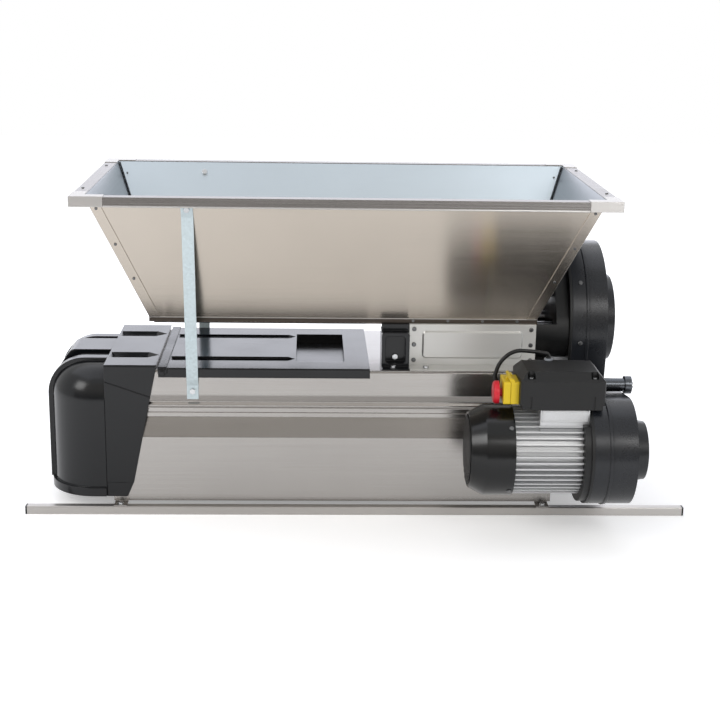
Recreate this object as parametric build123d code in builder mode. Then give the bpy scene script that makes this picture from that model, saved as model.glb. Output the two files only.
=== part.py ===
from build123d import *
import math
import os

# Motor driven crusher and stalk separator for fruit: a steel hopper with a feed screw, two crusher
# rollers in a box below it, and a drum with a beater that throws the stalks out under a black hood.
# Millimetres. X runs along the machine from the middle of its rails, Z goes up from the floor.
# Places across the machine are measured from the drum's axis, with the motor's side negative.

# Sheet metal, mouldings and fits
sheet = 1.5
sheet_bend = 3
plastic = 4
shaft_fit = 0.05
keyed_fit = 0.02
free_gap = 0.5
shaft_room = 2
bolt_fit = 0.2
drill_past = 1

# Fasteners
head_round = 0.6
bolt_shank = 3
bolt_head = 5.5
bolt_head_height = 4
nut_height = 5
rivet_head = 2.7
rivet_height = 1.8
rivet_shank = 1.6
rivet_tail = 2
screw_head = 4.2
screw_head_height = 2.4
screw_shank = 2

# Rails
rail_length = 1220
rail_size = 16
rail_wall = 1.5
rail_corner = 1.8
rail_spacing = 332
plug_flange = 3
plug_depth = 18
plug_fit = 0.1

# Feet that tie the body to the rails
foot_left_inset = 14
foot_right_inset = 17
foot_width = 24
foot_thickness = 2
foot_height = 28
foot_bend = 2

# Body around the drum
body_left = -450
body_length = 812
body_half = 150
waist_half = 140
skirt_half = 152
body_bottom = 20
skirt_bend_z = 143
seam_z = 188
seam_lip = 8
seam_tail = 10
bead_low_z = 196
bead_z = 202
waist_top_z = 208
bead_depth = 4
band_bottom_z = 224
body_top = 270
top_lip = 22
end_plate = 4

# Openings in the body's top
hatch_left_lap = 14
hatch_right_lap = 16
hatch_half = 118

# Drum and beater
drum_z = 140
basket_radius = 112
basket_end_gap = 6
basket_flange = 16
basket_hole = 11
basket_hole_pitch = 36
basket_hole_rows = 5
basket_hole_spread = 32
ledge_width = 24
ledge_height = 20
ledge_thickness = 2
shaft_radius = 15
beater_radius = 98
arm_radius = 5
arm_seat = 8
arm_count = 18
arm_turn = 75
arm_margin = 40
paddle_length = 34
paddle_depth = 26
paddle_thickness = 5
paddle_twist = 35
bearing_bar_thickness = 6
bearing_bar_height = 34
bearing_bar_drop = 32
bearing_radius = 36
bearing_length = 16
bearing_bolt_circle = 27
shaft_stub = 4

# Black end frame and hood over the stalk outlet
frame_reach = 12
frame_top_length = 95
frame_low_length = 50
frame_ledge_z = 57
frame_bottom = 29
frame_tab_length = 38
frame_edge = 3
frame_top = 280
channel_half_spacing = 80
channel_width = 38
channel_depth = 6
channel_left_inset = 3
channel_right_inset = 2
channel_nose = 20
channel_draft = 45
crease_depth = 1.2
crease_left_z = 249
crease_right_z = 216
crease_low_z = 56
hood_reach = 106
hood_half = 157
hood_top = 271
hood_bottom = 31
hood_corner = 84
hood_crown = 62
hood_lip_height = 16
hood_lip_depth = 5
hood_rib_width = 22
hood_rib_height = 6
hood_middle_half = 42
hood_middle_inset = 7
hood_shoulder_inset = 30
hood_shoulder_z = 246
hood_shoulder_round = 15

# Black lid over the drum
lid_left_gap = 3
lid_right_gap = 22
lid_half = 153.5
lid_top = 275
lid_wall = 2.8
lid_skirt = 17.5
lid_edge = 2
lid_channel_half_spacing = 84
lid_channel_width = 28
lid_channel_depth = 4.2
lid_channel_wall = 1.6
lid_channel_margin = 17
lid_channel_end_gap = 2
lid_channel_nose = 13
pocket_length = 90
pocket_margin = 45
pocket_half = 103
pocket_depth = 17
pocket_corner = 3
strap_width = 15
strap_thickness = 2
strap_tail = 9

# Hopper
neck_past_box = 1
rim_length = 940
rim_width = 504
rim_top = 600
rim_flange = 23
rim_lip = 17
neck_length = 710
neck_width = 204
neck_top = 359
neck_height = 9
corner_strip = 19
strip_rivets = 3
strip_rivet_low = 0.34
strip_rivet_step = 0.285
rim_rivet_inset = 9
rim_rivet_y = 150
neck_rivets = 4
neck_rivet_inset = 7
neck_rivet_pitch = 64
cap_length = 56
cap_proud = 1.2
trough_flank = 45
trough_flank_z = 338
trough_bottom_z = 326
trough_lip = 7

# Struts from the hopper to the body
strut_x = -302
strut_width = 21
strut_thickness = 4
strut_bend = 8
strut_tab = 30
strut_top_gap = 11
strut_top_inset = 10
strut_knee_z = 255
strut_foot_top = 243
strut_foot_bottom = 217
strut_clear = 1.5
strut_bolt_inset = 15

# Crusher rollers and their box
box_length = 234
box_end_gap = 35
box_half = 110
box_top = 350
box_mouth_half = 98
box_foot = 38
box_foot_thickness = 2
box_bolt_inset = 30
box_bolt_margin = 12
panel_margin_x = 24
panel_margin_z = 12
panel_emboss = 3
emboss_draft = 45
panel_corner = 8
panel_screw_inset = 9
roller_z = 330
roller_spacing = 88
roller_radius = 42
roller_flutes = 12
flute_radius = 6
flute_lift = 2
roller_end_gap = 5
roller_shaft_radius = 11
bush_radius = 19
bush_length = 8
bracket_length = 51
bracket_depth = 57
bracket_proud = 17
bracket_step_z = 337.5
bracket_wall = 7
bracket_round = 6
bracket_recess = 20
bracket_bolt_rise = 16
bracket_bolt_inset = 21

# Feed screw
screw_z = 390
screw_radius = 55
screw_shaft_radius = 11
screw_pitch = 90
screw_end_gap = 24
screw_thickness = 3
screw_weld = 1
screw_start_gap = 16
pedestal_thickness = 6
pedestal_half = 32
pedestal_top = 24

# Gears
gear_width = 8
drive_gear_width = 20
pressure_angle = 25
tooth_tip = 0.9
tooth_root = 1.2
flank_steps = 3
backlash = 0.5
pinion_teeth = 17
drive_gear_teeth = 40
roller_gear_teeth = 14
screw_pinion_teeth = 12
screw_gear_teeth = 24
gear_side_gap = 1.7

# Transmission plate, gear cover and belt guard
plate_gap = 29
plate_thickness = 5
spacer_radius = 9
spacer_out = 50
spacer_rise = 40
gear_cover_gap = 5
gear_cover_wall = 3
gear_cover_room = 6
gear_nose_gap = 2
gear_nose_top = 348
guard_wall = 3
guard_seam_reach = 36
guard_disc_reach = 71
guard_belt_reach = 80
guard_disc_radius = 149
guard_rear_radius = 80
disc_cap_radius = 86
disc_cap_height = 27
motor_cap_radius = 55
motor_cap_height = 27
cap_draft = 8
guard_screw_angles = (60, 98, 142, 186)
guard_rim_bead = 2
guard_rim_width = 5

# Belt drive
belt_reach = 57
belt_width = 13
belt_height = 8
motor_pulley_radius = 26
beater_pulley_radius = 66
pulley_width = 20

# Motor
motor_out = 280
motor_z = 166
guard_small_radius = 94
motor_core_radius = 66
motor_fin_radius = 77
motor_fin_count = 44
motor_fin_width = 3
motor_fin_length = 131
flange_depth = 11
flange_radius = 90
flange_flat_z = 228
shield_spigot = 33
motor_pad_inset = 57
motor_pad_half = 48.5
cowl_reach = 61
cowl_radius = 80
cowl_face_radius = 66
cowl_taper = 26
cowl_wall = 2.5
cowl_overlap = 14
cowl_screw_bite = 8
grille_rings = 6
grille_slot = 3.5
grille_hub = 10
grille_spokes = 4
motor_shaft_radius = 9.5
fan_radius = 58
fan_hub_radius = 20
fan_thickness = 3
fan_blade_height = 26
fan_blades = 8

# Terminal box and switch
terminal_inset = 20
terminal_length = 147
terminal_half = 52
terminal_bottom = 262
terminal_top = 304
terminal_wall = 3
terminal_apron = 8
terminal_edge = 4
terminal_lid_top = 319
terminal_lid_slope = 13
lid_screw_inset = 19
lid_screw_side = 9
lid_seat_rise = 4
lid_recess = 6.5
slot_width = 3
slot_height = 22
slot_depth = 1.5
slot_z = 267
switch_offset = 10
switch_half = 26
switch_bottom = 259
switch_top = 299
switch_base_depth = 14
switch_lid_depth = 12
switch_wall = 2.5
switch_edge = 3
hinge_radius = 3.2
hinge_pin_radius = 1.4
hinge_drop = 3.8
stop_z = 274
stop_radius = 20
stop_stem = 7
stop_height = 10
stop_travel = 5
start_z = 290
button_radius = 5.5
button_height = 5
button_edge = 1
button_travel = 3
cable_radius = 3.5
lead_inset = 7
lead_reach = 60
lead_side = 20
lead_drop = 12
lead_rise = 16
lead_ease = 0.45
lead_run = ((0, 19, 0), (-29, 20, 6), (-19, 20, 41), (6, 20, 62), (40, 20, 60))
gland_radius = 4.7
gland_length = 6

# Tie rod above the guard
rod_out = 211
rod_z = 265.4
rod_radius = 12
rod_margin = 5
rod_reach = 82
rod_nut_radius = 16
rod_nut_length = 12

# The origin lies on the floor under the middle of the machine's outer box
front_reach = motor_out + guard_small_radius
rear_reach = rim_width / 2 + cap_proud
mid_y = (front_reach - rear_reach) / 2

across = Plane(origin=(0, mid_y, 0), x_dir=(0, 1, 0), z_dir=(1, 0, 0))
side = Plane(origin=(0, mid_y, 0), x_dir=(1, 0, 0), z_dir=(0, -1, 0))
plan = Plane(origin=(0, mid_y, 0), x_dir=(1, 0, 0), z_dir=(0, 0, 1))
FRONT = (0, -1, 0)
UP = (0, 0, 1)
RIGHT = (1, 0, 0)
ON_TOP = (Align.CENTER, Align.CENTER, Align.MIN)
BELOW = (Align.CENTER, Align.CENTER, Align.MAX)
SIDES = (("front", -1), ("rear", 1))

# Places along the machine, from the stalk end to the belt guard
body_right = body_left + body_length
foot_left_x = body_left + foot_left_inset
foot_right_x = body_right - foot_right_inset
frame_left = body_left - frame_reach
frame_right_top = frame_left + frame_top_length
frame_right_low = frame_left + frame_low_length
frame_tab_right = frame_left + frame_tab_length
channel_left = frame_left + channel_left_inset
channel_tip = frame_right_top - channel_right_inset
hood_left = frame_left - hood_reach
hood_shoulder_x = hood_left + hood_shoulder_inset
box_right = body_right - box_end_gap
box_left = box_right - box_length
bracket_left = box_left - bracket_length
lid_left = frame_right_top + lid_left_gap
lid_right = bracket_left - lid_right_gap
hatch_left = lid_left + hatch_left_lap
hatch_right = lid_right - hatch_right_lap
pocket_right = lid_right - pocket_margin
pocket_left = pocket_right - pocket_length
lid_channel_left = lid_left + lid_channel_margin
lid_channel_tip = pocket_left - lid_channel_end_gap
neck_right = box_right + neck_past_box
neck_left = neck_right - neck_length
hopper_middle = (neck_left + neck_right) / 2
gear_cover_left = body_right + gear_cover_gap
gear_nose_left = box_right + gear_nose_gap
plate_left = body_right + plate_gap
plate_right = plate_left + plate_thickness
guard_seam = plate_left + guard_seam_reach
guard_disc_face = plate_left + guard_disc_reach
guard_belt_face = plate_left + guard_belt_reach
belt_x = plate_left + belt_reach
rod_right = plate_left + rod_reach
flange_left = plate_left - flange_depth
motor_fin_left = flange_left - motor_fin_length
motor_pad_left = motor_fin_left + motor_pad_inset
cowl_left = motor_fin_left - cowl_reach
terminal_left = motor_fin_left + terminal_inset
terminal_right = terminal_left + terminal_length
switch_out = motor_out + switch_offset

# Places that several pieces share
deck = body_top + sheet
roller_half = roller_spacing / 2
drive_axis = (roller_half, roller_z)
idle_axis = (-roller_half, roller_z)
screw_axis = (0, screw_z)
beater_axis = (0, drum_z)
motor_axis = (-motor_out, motor_z)
rod_axis = (-rod_out, rod_z)
neck_half = neck_width / 2
neck_bottom = neck_top - neck_height
wall_rise = rim_top - sheet - neck_top
wall_flare = rim_width / 2 - rim_flange - neck_half
end_flare = (rim_length - neck_length) / 2 - rim_flange
wall_slant = math.hypot(wall_rise, wall_flare)
end_slant = math.hypot(wall_rise, end_flare)

os.makedirs("parts", exist_ok=True)


class HexBolt(BasePartObject):
    """Hex bolt along Z: its head stands on the plane, its shank goes below, a nut may end it."""

    def __init__(self, grip, nut=False, mode=Mode.ADD):
        with BuildPart() as bolt:
            with BuildSketch():
                RegularPolygon(bolt_head, 6)
            extrude(amount=bolt_head_height)
            if nut:
                with BuildSketch(Plane.XY.offset(-grip)):
                    RegularPolygon(bolt_head, 6)
                extrude(amount=-nut_height)
            Cylinder(bolt_shank, grip, align=BELOW)
        super().__init__(part=bolt.part, mode=mode)


class RoundHead(BasePartObject):
    """Rivet or screw along Z with a low round head on the plane."""

    def __init__(self, head, height, shank, grip, mode=Mode.ADD):
        with BuildPart() as fastener:
            Cylinder(head, height, align=ON_TOP)
            fillet(fastener.edges().sort_by(Axis.Z)[-1], height * head_round)
            Cylinder(shank, grip, align=BELOW)
        super().__init__(part=fastener.part, mode=mode)


def seat(x, y, z, facing):
    """Plane on a surface, at a place measured from the drum's axis, that faces outwards."""
    return Plane(origin=(x, mid_y + y, z), z_dir=facing)


def drill(seats, depth, radius=bolt_shank + bolt_fit):
    """Clear the shanks of fasteners that stand on these planes."""
    with Locations(*seats):
        Cylinder(radius, depth, align=BELOW, mode=Mode.SUBTRACT)


def finish(piece, node):
    """Name one piece and write it."""
    piece.part.label = node
    export_step(piece.part, f"parts/{node}.step")


def gear_outline(teeth, module, phase):
    """Corner points of a spur gear, one tooth centred on the phase angle in degrees."""
    pitch_radius = teeth * module / 2
    base_radius = pitch_radius * math.cos(math.radians(pressure_angle))
    tip_radius = pitch_radius + tooth_tip * module
    root_radius = pitch_radius - tooth_root * module
    involute = math.tan(math.radians(pressure_angle)) - math.radians(pressure_angle)
    half_tooth = (math.pi * module / 2 - backlash) / 2 / pitch_radius + involute
    flank_start = max(base_radius, root_radius)
    points = []
    for tooth in range(teeth):
        middle = math.radians(phase) + tooth * 2 * math.pi / teeth
        flank = [(root_radius, half_tooth)] if root_radius < base_radius else []
        for step in range(flank_steps + 1):
            radius = flank_start + (tip_radius - flank_start) * step / flank_steps
            roll = math.acos(min(1, base_radius / radius))
            flank.append((radius, half_tooth - (math.tan(roll) - roll)))
        for radius, spread in flank:
            points.append((radius * math.cos(middle - spread), radius * math.sin(middle - spread)))
        for radius, spread in reversed(flank):
            points.append((radius * math.cos(middle + spread), radius * math.sin(middle + spread)))
    return points


def direction(start, end):
    """Angle in degrees of the line from one axis to another, seen along the machine."""
    return math.degrees(math.atan2(end[1] - start[1], end[0] - start[0]))


def spur_gear(axis, x, width, teeth, module, phase, bore):
    """Spur gear across the machine, bored for its shaft."""
    corners = [(axis[0] + y, axis[1] + z) for y, z in gear_outline(teeth, module, phase)]
    with BuildPart() as gear:
        with BuildSketch(across.offset(x)):
            with BuildLine():
                Polyline(*corners, close=True)
            make_face()
            with Locations(axis):
                Circle(bore + keyed_fit, mode=Mode.SUBTRACT)
        extrude(amount=width)
    return gear


# Rails: square tubes with plastic plugs in their ends, and the feet that the body stands on
foot_seats = []
for foot_x in (foot_left_x, foot_right_x):
    for _, sign in SIDES:
        foot_seats.append(seat(foot_x, sign * rail_spacing / 2, rail_size + foot_thickness, UP))

for name, sign in SIDES:
    with BuildPart() as rail:
        with BuildSketch(across.offset(plug_flange - rail_length / 2)):
            with Locations((sign * rail_spacing / 2, rail_size / 2)):
                RectangleRounded(rail_size, rail_size, rail_corner)
                Rectangle(rail_size - 2 * rail_wall, rail_size - 2 * rail_wall, mode=Mode.SUBTRACT)
        extrude(amount=rail_length - 2 * plug_flange)
        drill(foot_seats, foot_thickness + rail_wall + drill_past)
    finish(rail, f"{name}_rail")

with BuildPart() as rail_end_plugs:
    for end in (-1, 1):
        mouth = across.offset(end * (rail_length / 2 - plug_flange))
        plug_size = rail_size - 2 * rail_wall - 2 * plug_fit
        with BuildSketch(mouth):
            with Locations((-rail_spacing / 2, rail_size / 2), (rail_spacing / 2, rail_size / 2)):
                RectangleRounded(rail_size, rail_size, rail_corner)
        extrude(amount=end * plug_flange)
        with BuildSketch(mouth):
            with Locations((-rail_spacing / 2, rail_size / 2), (rail_spacing / 2, rail_size / 2)):
                Rectangle(plug_size, plug_size)
        extrude(amount=-end * plug_depth)
finish(rail_end_plugs, "rail_end_plugs")

with BuildPart() as foot_brackets:
    for foot_x in (foot_left_x, foot_right_x):
        with BuildSketch(across.offset(foot_x - foot_width / 2)):
            with BuildLine():
                inner = sheet - skirt_half + foot_thickness / 2
                sole_z = rail_size + foot_thickness / 2
                outer = -rail_spacing / 2 - rail_size / 2
                FilletPolyline(
                    (outer, sole_z), (inner, sole_z), (inner, rail_size + foot_height), radius=foot_bend
                )
            trace(line_width=foot_thickness)
            mirror(about=Plane.YZ)
        extrude(amount=foot_width)
    drill(foot_seats, foot_thickness)
finish(foot_brackets, "foot_brackets")


# Body: bent side panels, skirts below them, a deck on top and a plate at the drive end
strut_low_seats = []
for _, sign in SIDES:
    strut_face = sign * (body_half + strut_thickness)
    strut_low_z = strut_foot_bottom + strut_bolt_inset
    strut_low_seats.append(seat(strut_x, strut_face, strut_low_z, (0, sign, 0)))

box_bolt_y = box_half + box_foot - box_bolt_margin
box_bolt_grip = box_foot_thickness + 2 * sheet
box_bolt_seats = []
for bolt_x in (box_left + box_bolt_inset, box_right - box_bolt_inset):
    for _, sign in SIDES:
        box_bolt_seats.append(seat(bolt_x, sign * box_bolt_y, deck + box_foot_thickness, UP))
bracket_bolt_x = bracket_left + bracket_bolt_inset
bracket_foot_seat = seat(bracket_bolt_x, -box_bolt_y, deck + box_foot_thickness, UP)
deck_bolt_seats = [*box_bolt_seats, bracket_foot_seat]

panel_length = body_right - end_plate - body_left
panel_bends = [sheet_bend, 2 * sheet_bend, sheet_bend, sheet_bend, sheet_bend]
with BuildPart() as upper_panels:
    with BuildSketch(across.offset(body_left)):
        with BuildLine():
            band = body_half - sheet / 2
            waist = waist_half - sheet / 2
            FilletPolyline(
                (band - top_lip, body_top - sheet / 2),
                (band, body_top - sheet / 2),
                (band, band_bottom_z),
                (waist, waist_top_z),
                (waist + bead_depth, bead_z),
                (waist, bead_low_z),
                (waist, seam_z - seam_tail),
                radius=panel_bends,
            )
        trace(line_width=sheet)
        mirror(about=Plane.YZ)
    extrude(amount=panel_length)
    drill(strut_low_seats, strut_thickness + sheet + drill_past)
    drill(deck_bolt_seats, box_bolt_grip + drill_past)
finish(upper_panels, "upper_side_panels")

with BuildPart() as skirts:
    with BuildSketch(across.offset(body_left)):
        with BuildLine():
            lip = waist_half + sheet / 2
            low = skirt_half - sheet / 2
            FilletPolyline(
                (lip, seam_z), (lip, seam_z - seam_lip), (low, skirt_bend_z), (low, body_bottom),
                radius=2 * sheet_bend,
            )
        trace(line_width=sheet)
        mirror(about=Plane.YZ)
    extrude(amount=panel_length)
finish(skirts, "lower_side_skirts")

bearing_seats = []
for bolt_angle in (45, 135, 225, 315):
    bolt_y = bearing_bolt_circle * math.cos(math.radians(bolt_angle))
    bolt_z = drum_z + bearing_bolt_circle * math.sin(math.radians(bolt_angle))
    bearing_seats.append(seat(body_right + bearing_length, bolt_y, bolt_z, RIGHT))

with BuildPart() as drive_end_plate:
    with BuildSketch(across.offset(body_right)):
        with BuildLine():
            Polyline(
                (-body_half, body_top), (-body_half, band_bottom_z), (-waist_half, waist_top_z),
                (-waist_half, seam_z - seam_lip), (-skirt_half, skirt_bend_z), (-skirt_half, body_bottom),
                (skirt_half, body_bottom), (skirt_half, skirt_bend_z), (waist_half, seam_z - seam_lip),
                (waist_half, waist_top_z), (body_half, band_bottom_z), (body_half, body_top), close=True,
            )
        make_face()
        with Locations(beater_axis):
            Circle(shaft_radius + shaft_room, mode=Mode.SUBTRACT)
    extrude(amount=-end_plate)
    drill(bearing_seats, bearing_length + end_plate)
finish(drive_end_plate, "drive_end_plate")

with BuildPart() as deck_plate:
    with BuildSketch(plan.offset(body_top)):
        with Locations(((body_left + body_right) / 2, 0)):
            Rectangle(body_right - body_left, 2 * body_half)
        with Locations(((hatch_left + hatch_right) / 2, 0)):
            Rectangle(hatch_right - hatch_left, 2 * hatch_half, mode=Mode.SUBTRACT)
        with Locations(((box_left + box_right) / 2, 0)):
            drop_length = box_right - box_left - 2 * sheet
            Rectangle(drop_length, 2 * box_mouth_half, mode=Mode.SUBTRACT)
    extrude(amount=sheet)
    drill(deck_bolt_seats, box_bolt_grip)
finish(deck_plate, "deck_plate")


# Drum: a perforated half basket on ledges, and the beater that turns in it
basket_left = body_left + bearing_bar_thickness + basket_end_gap
basket_right = body_right - end_plate - free_gap
basket_length = basket_right - basket_left

with BuildPart() as basket_ledges:
    with BuildSketch(across.offset(basket_left)):
        with BuildLine():
            wall = skirt_half - sheet - ledge_thickness / 2
            shelf_z = drum_z - sheet - ledge_thickness / 2
            FilletPolyline(
                (wall, shelf_z - ledge_height), (wall, shelf_z), (wall - ledge_width, shelf_z),
                radius=ledge_thickness,
            )
        trace(line_width=ledge_thickness)
        mirror(about=Plane.YZ)
    extrude(amount=basket_length)
finish(basket_ledges, "basket_ledges")

with BuildPart() as basket:
    with BuildSketch(across.offset(basket_left)):
        with Locations(beater_axis):
            Circle(basket_radius + sheet)
            Circle(basket_radius, mode=Mode.SUBTRACT)
        with Locations((0, drum_z + basket_radius)):
            Rectangle(4 * basket_radius, 2 * basket_radius, mode=Mode.SUBTRACT)
        for sign in (-1, 1):
            with Locations((sign * (basket_radius + basket_flange / 2), drum_z - sheet / 2)):
                Rectangle(basket_flange, sheet)
    extrude(amount=basket_length)
    hole_count = int((basket_length - basket_hole_pitch) / basket_hole_pitch)
    for row in range(basket_hole_rows):
        lean = math.radians((row - (basket_hole_rows - 1) / 2) * basket_hole_spread)
        hole_plane = Plane(
            origin=((basket_left + basket_right) / 2, mid_y, drum_z),
            x_dir=(1, 0, 0),
            z_dir=(0, math.sin(lean), -math.cos(lean)),
        )
        with BuildSketch(hole_plane):
            with GridLocations(basket_hole_pitch, 1, hole_count, 1):
                Circle(basket_hole)
        extrude(amount=basket_radius + 2 * sheet, mode=Mode.SUBTRACT)
finish(basket, "drum_basket")

beater_left = body_left - bearing_length - shaft_stub
beater_right = belt_x + pulley_width / 2 + shaft_stub
arm_pitch = (basket_length - 2 * arm_margin) / (arm_count - 1)
arm_planes = []
for arm in range(arm_count):
    turn = math.radians(arm * arm_turn)
    arm_planes.append(
        Plane(
            origin=(basket_left + arm_margin + arm * arm_pitch, mid_y, drum_z),
            x_dir=(1, 0, 0),
            z_dir=(0, math.cos(turn), math.sin(turn)),
        )
    )

with BuildPart() as beater_shaft:
    with BuildSketch(across.offset(beater_left)):
        with Locations(beater_axis):
            Circle(shaft_radius)
    extrude(amount=beater_right - beater_left)
    with Locations(*[plane.offset(shaft_radius - arm_seat) for plane in arm_planes]):
        Cylinder(arm_radius + keyed_fit, 2 * arm_seat, align=ON_TOP, mode=Mode.SUBTRACT)
finish(beater_shaft, "beater_shaft")

with BuildPart() as beater_arms:
    for plane in arm_planes:
        with BuildSketch(plane.offset(shaft_radius - arm_seat)):
            Circle(arm_radius)
        extrude(amount=beater_radius - paddle_depth / 2 - shaft_radius + arm_seat)
        with BuildSketch(plane.offset(beater_radius - paddle_depth)):
            Rectangle(paddle_length, paddle_thickness, rotation=paddle_twist)
        extrude(amount=paddle_depth)
finish(beater_arms, "beater_arms")

with BuildPart() as bearing_bar:
    with BuildSketch(across.offset(body_left)):
        with Locations((0, drum_z - bearing_bar_drop)):
            Rectangle(2 * (skirt_half - sheet), bearing_bar_height)
        with Locations(beater_axis):
            Circle(bearing_radius)
            Circle(shaft_radius + shaft_room, mode=Mode.SUBTRACT)
    extrude(amount=bearing_bar_thickness)
finish(bearing_bar, "stalk_end_bearing_bar")

with BuildPart() as drum_bearings:
    for start in (body_left - bearing_length, body_right):
        with BuildSketch(across.offset(start)):
            with Locations(beater_axis):
                Circle(bearing_radius)
                Circle(shaft_radius + shaft_fit, mode=Mode.SUBTRACT)
        extrude(amount=bearing_length)
    drill(bearing_seats, bearing_length)
finish(drum_bearings, "drum_bearings")


def pointed_outline(level, left, tip, middle, width, nose):
    """Outline of a channel in a flat top, with a pointed right end."""
    with BuildSketch(plan.offset(level)) as outline:
        with BuildLine():
            Polyline(
                (left, middle - width / 2), (tip - nose, middle - width / 2), (tip, middle),
                (tip - nose, middle + width / 2), (left, middle + width / 2), close=True,
            )
        make_face()
    return outline.sketch


# Black end frame that wraps the body, the hood over the stalk outlet and the lid over the drum
frame_half = skirt_half + plastic
with BuildPart() as end_frame:
    with BuildSketch(side.offset(-frame_half)):
        with BuildLine():
            Polyline(
                (frame_left, frame_top), (frame_right_top, frame_top), (frame_right_low, frame_ledge_z),
                (frame_tab_right, frame_bottom), (frame_left, frame_bottom), close=True,
            )
        make_face()
    extrude(amount=2 * frame_half)
    for sign in (-1, 1):
        with BuildSketch(side.offset(sign * frame_half)):
            with BuildLine():
                Polyline(
                    (frame_left, crease_left_z), (frame_right_top, crease_right_z),
                    (frame_right_top, frame_top), (frame_left, frame_top), close=True,
                )
            make_face()
            with BuildLine():
                Polyline(
                    (frame_left, crease_low_z), (frame_right_top, crease_low_z),
                    (frame_right_top, frame_bottom), (frame_left, frame_bottom), close=True,
                )
            make_face()
        extrude(amount=-sign * crease_depth, mode=Mode.SUBTRACT)
    fillet(end_frame.edges().filter_by(Axis.X).group_by(Axis.Z)[-1], frame_edge)
    with BuildSketch(across.offset(frame_left)):
        with Locations((0, deck)):
            Rectangle(2 * skirt_half, 2 * deck, align=(Align.CENTER, Align.MAX))
    extrude(amount=2 * (frame_right_top - frame_left), mode=Mode.SUBTRACT)
    for sign in (-1, 1):
        middle = sign * channel_half_spacing
        mouth = pointed_outline(frame_top, channel_left, channel_tip, middle, channel_width, channel_nose)
        extrude(mouth, amount=-channel_depth, taper=channel_draft, mode=Mode.SUBTRACT)
finish(end_frame, "end_frame")

hood_lip_top = hood_bottom + hood_lip_height


def hood_form(inset):
    """Solid inside the hood's skin, drawn in by the inset: rounded all round, with a flat raised middle."""
    half = hood_half - inset
    left = hood_left + inset
    top = hood_top - inset
    middle_half = hood_middle_half - inset
    middle_left = hood_left + hood_middle_inset + inset
    middle_top = frame_top - inset
    with BuildPart() as form:
        with BuildSketch(plan.offset(hood_bottom)):
            with BuildLine():
                FilletPolyline(
                    (frame_left, -half), (left, -half), (left, half), (frame_left, half),
                    radius=hood_corner - inset,
                )
                Line((frame_left, half), (frame_left, -half))
            make_face()
        extrude(amount=top - hood_bottom)
        crown = form.faces().sort_by(Axis.Z)[-1].edges().sort_by(Axis.X)[:-1]
        fillet(crown, hood_crown - inset)
        with BuildSketch(side.offset(middle_half)):
            with BuildLine():
                FilletPolyline(
                    (frame_left, middle_top), (hood_shoulder_x, middle_top), (middle_left, hood_shoulder_z),
                    (middle_left, hood_bottom), radius=hood_shoulder_round,
                )
                Polyline((middle_left, hood_bottom), (frame_left, hood_bottom), (frame_left, middle_top))
            make_face()
        extrude(amount=-2 * middle_half)
    return form


hood_outside = hood_form(0)
hood_inside = hood_form(plastic)
with BuildPart() as stalk_hood:
    add(hood_outside.part)
    for sign in (-1, 1):
        with BuildSketch(side.offset(hood_rib_width / 2 - sign * channel_half_spacing)):
            with BuildLine():
                rib_middle = (hood_rib_height - plastic) / 2
                FilletPolyline(
                    (frame_left, hood_top + rib_middle), (hood_left - rib_middle, hood_top + rib_middle),
                    (hood_left - rib_middle, hood_lip_top), radius=hood_crown + rib_middle,
                )
            trace(line_width=hood_rib_height + plastic)
        extrude(amount=-hood_rib_width)
    add(hood_inside.part, mode=Mode.SUBTRACT)
    with BuildSketch(plan.offset(hood_bottom)):
        with BuildLine():
            FilletPolyline(
                (frame_left, -hood_half), (hood_left, -hood_half), (hood_left, hood_half),
                (frame_left, hood_half), radius=hood_corner,
            )
            offset(amount=hood_lip_depth, side=Side.LEFT, kind=Kind.ARC, closed=True)
        make_face()
    extrude(amount=hood_lip_height)
finish(stalk_hood, "stalk_hood")

with BuildPart() as drum_lid:
    with BuildSketch(plan.offset(lid_top)):
        with Locations(((lid_left + lid_right) / 2, 0)):
            Rectangle(lid_right - lid_left, 2 * lid_half)
    extrude(amount=-lid_skirt)
    fillet(drum_lid.edges().filter_by(Axis.X).group_by(Axis.Z)[-1], lid_edge)
    with BuildSketch(plan.offset(deck + free_gap)):
        with Locations(((lid_left + lid_right) / 2, 0)):
            Rectangle(2 * (lid_right - lid_left), 2 * (body_half + free_gap))
    extrude(amount=-lid_skirt, mode=Mode.SUBTRACT)
    pocket_length = pocket_right - pocket_left
    with BuildSketch(plan.offset(lid_top - lid_edge)):
        with Locations(((pocket_left + pocket_right) / 2, 0)):
            Rectangle(pocket_length + 2 * lid_wall, 2 * (pocket_half + lid_wall))
    extrude(amount=lid_edge - pocket_depth - lid_wall)
    with BuildSketch(plan.offset(lid_top)):
        with Locations(((pocket_left + pocket_right) / 2, 0)):
            RectangleRounded(pocket_length, 2 * pocket_half, pocket_corner)
    extrude(amount=-pocket_depth, mode=Mode.SUBTRACT)
    for sign in (-1, 1):
        middle = sign * lid_channel_half_spacing
        with BuildSketch(plan.offset(lid_top - lid_edge)):
            with Locations(((lid_channel_left + lid_channel_tip) / 2, middle)):
                Rectangle(lid_channel_tip - lid_channel_left, lid_channel_width)
        extrude(amount=lid_edge - lid_channel_depth - lid_channel_wall)
        mouth = pointed_outline(
            lid_top, lid_channel_left, lid_channel_tip, middle, lid_channel_width, lid_channel_nose
        )
        extrude(mouth, amount=-lid_channel_depth, taper=channel_draft, mode=Mode.SUBTRACT)
finish(drum_lid, "drum_lid")

with BuildPart() as lid_strap:
    with BuildSketch(across.offset(lid_left)):
        with BuildLine():
            strap_half = lid_half + strap_thickness / 2
            strap_z = lid_top + strap_thickness / 2
            FilletPolyline(
                (-strap_half, strap_z - strap_tail), (-strap_half, strap_z), (strap_half, strap_z),
                (strap_half, strap_z - strap_tail), radius=lid_edge + strap_thickness / 2,
            )
        trace(line_width=strap_thickness)
    extrude(amount=strap_width)
finish(lid_strap, "lid_strap")


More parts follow.
